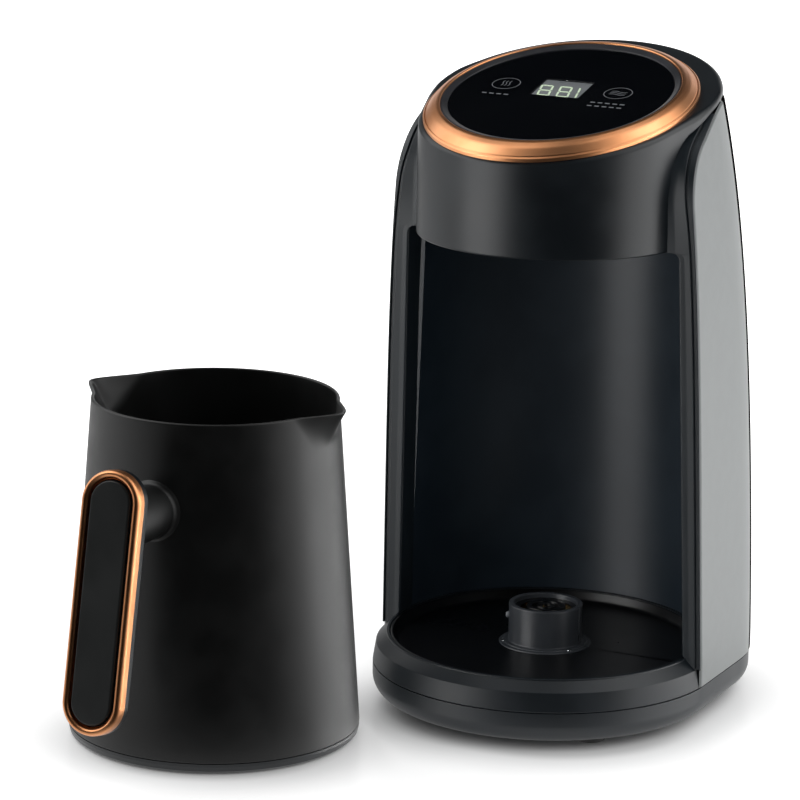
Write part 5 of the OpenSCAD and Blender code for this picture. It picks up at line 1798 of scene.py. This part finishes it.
@dataclass(frozen=True)
class Screws:
    """Pan-head screws with a cross recess that show on the outside.

    Attributes:
        head_r: radius of the head.
        head_h: height of the head.
        shank_r: radius of the shank.
        edge: width of the head's rounded edge.
        slot: half the width of the recess's arms.
        on_back: places of the rear cover's screws, as X and Z.
        in_ceiling: places of the bay ceiling's screws, as X and Y.
        ceiling_z: height of their heads' undersides.
        pan_z: height of the pan screws' heads' undersides.
    """

    head_r: float = 2.9
    head_h: float = 1.6
    shank_r: float = 1.25
    edge: float = 0.35
    slot: float = 0.42
    on_back: tuple[Pair, ...] = ((27, 48), (-27, 48), (22, 178), (-22, 178))
    in_ceiling: tuple[Pair, ...] = ((34, -34), (-34, -34), (34, 40), (-34, 40))
    ceiling_z: float = 198.2
    pan_z: float = 4.2

    def one(self, length: float) -> Array:
        """Works out one screw.

        The head is a low dome; the recess lowers it inside a cross, whose arms are the places where
        the smaller of the two plane coordinates stays under half the slot's width.

        Args:
            length: length of its shank.

        Returns:
            A grid that points along -Z, with the head's underside at zero.
        """
        a = circle(96)[None, :]
        rho = np.linspace(0, self.head_r - self.edge, 22)[:, None]
        x, y = rho * np.cos(a), rho * np.sin(a)
        dome = self.head_h - self.edge * (rho / self.head_r) ** 2
        slim = np.clip((self.slot - np.minimum(np.abs(x), np.abs(y))) / 0.14, 0, 1)
        short = np.clip((1.75 - rho) / 0.25, 0, 1)
        top = stack(x, y, dome - 0.8 * slim * short * np.ones_like(a))
        b = np.linspace(0, pi / 2, 6)[:, None]
        side_r = self.head_r - self.edge + self.edge * np.sin(b)
        side_z = self.head_h - 0.7 + 0.42 * np.cos(b)
        rest = np.vstack([np.hstack([side_r, side_z]), [[self.head_r, 0], [self.shank_r, 0],
                                                        [self.shank_r, -length], [0, -length]]])
        return np.concatenate([top, turned(rest, 96)], axis=0)

    def build(self, shop: Workshop) -> None:
        """Builds the screws of the back, of the bay's ceiling and of the base."""
        form = TowerForm()
        back = []
        for x, z in self.on_back:
            r = form.corner_r(z)
            out = form.rear_y(z) - r + np.sqrt(r**2 - max(0.0, abs(x) - self.head_r - form.width(z) + r) ** 2)
            back.append((x, float(out) + 0.1, z))
        ceiling = [(x, y, self.ceiling_z) for x, y in self.in_ceiling]
        below = [(x, y, self.pan_z) for x, y in Base().screws]
        for name, node, places, length, tilt in (("back_screws", "rear_screws", back, 12, -90),
                                                 ("ceiling_screws", "underside_screws", ceiling, 12, 180),
                                                 ("base_screws", "pan_screws", below, 11, 180)):
            skin = Skin()
            for place in places:
                skin.grid(placed(self.one(length), place, tilt), ring_cols=True)
            shop.mount(skin.piece(name), Body.TOWER, STEEL, node)


# ---------------- studio


@dataclass(frozen=True)
class Studio:
    """Camera, floor, soft boxes and backdrop. Its lengths on the floor are metres.

    Attributes:
        yaw: how far the camera stands round to the right.
        pitch: how far it looks down.
        roll: how far it is tilted.
        eye: where it stands, in millimetres.
        sensor: width of its sensor, in millimetres.
        lens: its focal length, in millimetres.
        focus: middle of the object, which the lights are aimed at.
        ambient: strength of the light from all round.
        shadow: how far the contact's darkness is drawn towards the viewer.
        tower_y: depth of the middle of the tower's foot.
        tower_flat: half of its size in X and Y, less its corners' radius.
        tower_round: its corners' radius.
        back: direction in which the backdrop shows in reflections.
        pale: colour of the floor.
        contact_shade: colour of the floor's painted contact shadow, where the object touches it.
        dark: colour of the floor's dark part in reflections.
    """

    yaw: float = radians(25.752)
    pitch: float = radians(13.564)
    roll: float = radians(0.889)
    eye: Triple = (619.4, -1427.3, 502.2)
    sensor: float = 36.0
    lens: float = 3876.4 / 800 * 36
    focus: Triple = (-0.03, -0.02, 0.1)
    ambient: float = 0.6
    shadow: float = 0.012
    tower_y: float = 0.011
    tower_flat: Pair = (0.009, 0.020)
    tower_round: float = 0.063
    back: Triple = (cos(radians(75)), sin(radians(75)), 0.0)
    pale: Colour = (0.8, 0.8, 0.8, 1)
    # painted contact shadow: the floor's darker colour close to the feet
    contact_shade: Colour = (0.55, 0.55, 0.55, 1)
    dark: Colour = (0.02, 0.02, 0.022, 1)

    def camera(self) -> None:
        """Places the camera: its axes are the view's right, up and backward directions, rolled."""
        f = Vector((-sin(self.yaw) * cos(self.pitch), cos(self.yaw) * cos(self.pitch), -sin(self.pitch)))
        r = Vector((cos(self.yaw), sin(self.yaw), 0))
        u = r.cross(f)
        right = cos(self.roll) * r + sin(self.roll) * u
        up = -sin(self.roll) * r + cos(self.roll) * u
        data = bpy.data.cameras.new("camera")
        data.sensor_width = self.sensor
        data.lens = self.lens
        data.clip_start, data.clip_end = 0.05, 50.0
        camera = bpy.data.objects.new("camera", data)
        turn = Matrix((right, up, -f)).transposed().to_4x4()
        camera.matrix_world = Matrix.Translation(Vector(self.eye) * MM) @ turn
        bpy.context.scene.collection.objects.link(camera)
        bpy.context.scene.camera = camera

    def softbox(self, name: str, at: Sequence[float], aim: Sequence[float], size: Pair,
                bright: float, only: Sequence[bpy.types.Object] = (),
                shades: Sequence[bpy.types.Object] = ()) -> None:
        """Hangs one rectangular light.

        Args:
            name: name of the light.
            at: where it hangs, in metres.
            aim: what it looks at.
            size: width and height, in metres.
            bright: its radiance.
            only: where given, it lights these objects alone, and neither the others nor the floor
                shade them from it.
            shades: the objects that do shade them, where they aren't the same ones.
        """
        data = bpy.data.lights.new(name, "AREA")
        data.shape = "RECTANGLE"
        data.size, data.size_y = size
        data.energy = bright * pi * size[0] * size[1]
        light = bpy.data.objects.new(name, data)
        turn = (Vector(aim) - Vector(at)).to_track_quat("-Z", "Y").to_matrix().to_4x4()
        light.matrix_world = Matrix.Translation(Vector(at)) @ turn
        bpy.context.scene.collection.objects.link(light)
        if only:
            lit, shading = (bpy.data.collections.new(f"{name}_{use}") for use in ("lit", "shading"))
            for group, pieces in ((lit, only), (shading, shades or only)):
                for piece in pieces:
                    group.objects.link(piece)
            light.light_linking.receiver_collection = lit
            light.light_linking.blocker_collection = shading
            data.cycles.use_multiple_importance_sampling = False

    def from_feet(self, wires: Wires, where: bpy.types.NodeSocket) -> bpy.types.NodeSocket:
        """Distance on the floor from the nearer of the two feet, drawn a little towards the viewer.

        The pot's foot is a circle. The tower's is a rounded box: the length of what is left of the
        absolute place after taking off the half size less the corner radius, less that radius.

        Args:
            wires: where the nodes go.
            where: the place on the floor.

        Returns:
            The distance in metres.
        """
        pot = Pot()
        drawn = (self.shadow * sin(self.yaw), -self.shadow * cos(self.yaw), 0)
        where = wires.vector("SUBTRACT", where, drawn, out="Vector")
        from_pot = wires.vector("DISTANCE", where, [c * MM for c in pot.at])
        from_pot = wires.math("SUBTRACT", from_pot, pot.foot_r * MM)
        place = wires.vector("SUBTRACT", where, (0.0, self.tower_y, 0.0), out="Vector")
        place = wires.vector("ABSOLUTE", place, out="Vector")
        place = wires.vector("SUBTRACT", place, (*self.tower_flat, 0.0), out="Vector")
        place = wires.vector("MAXIMUM", place, (0.0, 0.0, 0.0), out="Vector")
        from_tower = wires.math("SUBTRACT", wires.vector("LENGTH", place), self.tower_round)
        return wires.math("MINIMUM", from_pot, from_tower)

    def floor(self) -> None:
        """Lays the pale floor.

        For the camera it glows more and more with the distance from the nearest foot, so that the contact
        stays dark and the far floor ends in white: a painted contact shadow. Close to the feet its colour
        darkens too, as painted shade for the camera alone.
        In reflections it is dark in front of the tower and of the pot, where the distance towards
        the viewer is more than 0.8 of that sideways, but not close to what reflects it. It glows a
        little close by, and behind, where the distance along the backdrop's direction is more than
        0.45 of the whole distance.
        """
        x = np.array([-4.0, 4.0])
        grid = stack(x[:, None], x[None, :], 0.0)
        mesh = bpy.data.meshes.new("studio_floor")
        mesh.from_pydata(grid.reshape(-1, 3).tolist(), [], [[0, 2, 3, 1]])
        floor = bpy.data.objects.new("studio_floor", mesh)
        bpy.context.scene.collection.objects.link(floor)
        material = bpy.data.materials.new("studio floor")
        material.use_nodes = True
        wires = Wires(material.node_tree)
        shader = wires.nodes["Principled BSDF"]
        shader.inputs["Roughness"].default_value = 0.25
        shader.inputs["Specular IOR Level"].default_value = 0.2
        path = wires.add("ShaderNodeLightPath")
        where = wires.add("ShaderNodeTexCoord").outputs["Object"]
        ahead = (sin(self.yaw), -cos(self.yaw), 0.0)
        aside = (cos(self.yaw), sin(self.yaw), 0.0)
        fronts = []
        for centre in ((0.0, 0.0, 0.0), [c * MM for c in Pot().at]):
            out = wires.vector("SUBTRACT", where, centre, out="Vector")
            side = wires.math("ABSOLUTE", wires.vector("DOT_PRODUCT", out, aside))
            fronts.append(wires.math("MULTIPLY_ADD", side, -0.8, wires.vector("DOT_PRODUCT", out, ahead)))
        dark = wires.ramp(wires.math("MAXIMUM", *fronts), 0.0, 0.13)
        glossy, camera = path.outputs["Is Glossy Ray"], path.outputs["Is Camera Ray"]
        apart = wires.ramp(path.outputs["Ray Length"], 0.015, 0.045)
        dark = wires.math("MULTIPLY", wires.math("MULTIPLY", dark, apart), glossy)
        past = self.from_feet(wires, where)
        # painted contact shadow: for the camera the floor's colour falls from pale to a darker grey close to
        # the feet
        lit = wires.math("MAXIMUM", wires.ramp(past, -0.012, -0.002), wires.math("SUBTRACT", 1.0, camera))
        ground = wires.mix(lit, self.contact_shade, self.pale)
        wires.links.new(wires.mix(dark, ground, self.dark), shader.inputs["Base Color"])
        # painted contact shadow: the camera's glow is held back close to the feet
        near = wires.ramp(past, -0.024, 0.028, 0.0, 0.44)
        glow = wires.math("ADD", near, wires.ramp(past, 0.12, 0.8, 0.0, 0.7))
        behind = wires.math("MULTIPLY_ADD", wires.vector("LENGTH", where), -0.45,
                            wires.vector("DOT_PRODUCT", where, self.back))
        behind = wires.ramp(behind, 0.0, 0.08)
        close = wires.math("MULTIPLY", 0.35, wires.math("SUBTRACT", 1.0, apart))
        shine = wires.math("MULTIPLY", wires.math("MULTIPLY_ADD", behind, 0.6, close), glossy)
        shader.inputs["Emission Color"].default_value = (1, 1, 1, 1)
        total = wires.math("MULTIPLY_ADD", glow, camera, shine)
        wires.links.new(total, shader.inputs["Emission Strength"])
        mesh.materials.append(material)

    def world(self) -> None:
        """Sets the backdrop: white for the camera, and a low white band behind for reflections."""
        world = bpy.data.worlds.new("studio")
        bpy.context.scene.world = world
        world.use_nodes = True
        wires = Wires(world.node_tree)
        background = wires.nodes["Background"]
        path = wires.add("ShaderNodeLightPath")
        split = wires.add("ShaderNodeSeparateXYZ")
        place = wires.add("ShaderNodeTexCoord").outputs["Generated"]
        wires.links.new(place, split.inputs[0])
        toward = wires.vector("DOT_PRODUCT", place, self.back)
        band = wires.math("MULTIPLY", wires.ramp(toward, 0.3, 0.7), wires.ramp(split.outputs["Z"], 0.45, 0.2))
        seen = wires.math("MULTIPLY", path.outputs["Is Glossy Ray"], band)
        seen = wires.math("ADD", seen, path.outputs["Is Camera Ray"])
        seen = wires.math("ADD", seen, path.outputs["Is Transmission Ray"])
        total = wires.math("MULTIPLY_ADD", path.outputs["Is Diffuse Ray"], self.ambient, seen)
        background.inputs["Color"].default_value = (1, 1, 1, 1)
        wires.links.new(total, background.inputs["Strength"])

    def build(self, shop: Workshop) -> None:
        """Builds the whole studio.

        Four boxes light everything, at the sides and overhead. Two light the tower alone, one the pot.
        """
        bpy.context.scene.view_settings.view_transform = "Standard"
        self.camera()
        self.floor()
        self.world()
        self.softbox("left_box", (-1.0, -0.2, 0.7), self.focus, (1.3, 1.3), 1.4)
        self.softbox("right_box", (1.0, 0.2, 0.7), self.focus, (1.3, 1.3), 1.3)
        self.softbox("top_left", (-0.62, -0.30, 1.15), self.focus, (0.6, 1.2), 1.2)
        self.softbox("top_right", (0.62, 0.30, 1.15), self.focus, (0.6, 1.2), 1.3)
        plunger, pot = shop.on_body(Body.PLUNGER), shop.on_body(Body.POT)
        tower, middle = shop.on_body(Body.TOWER, Body.PLUNGER), (0, 0, 0.12)
        self.softbox("tower_box", (-0.60, -0.80, 0.18), middle, (0.62, 1.0), 2.4, tower, plunger)
        self.softbox("tower_edge", (0.93, 0.36, -0.1), middle, (1.25, 0.6), 1.4, tower)
        self.softbox("pot_box", (0.55, 0.68, 0.0), (-0.1, -0.1, 0.08), (0.9, 0.9), 2.2, pot)


def main() -> None:
    """Builds the studio and every sub-assembly in order."""
    logging.basicConfig(level=logging.INFO, format="%(message)s")
    shop = Workshop()
    shop.dress_model()
    for assembly in (Base(), Connector(), TowerSkins(), FrontFrame(), Head(), ControlFace(), Pot(), Handle(),
                     Screws()):
        assembly.build(shop)
        LOG.info("built %s", type(assembly).__name__)
    Studio().build(shop)
    LOG.info("%d pieces", len(shop.on_body(*Body)))


if __name__ == "__main__":
    main()
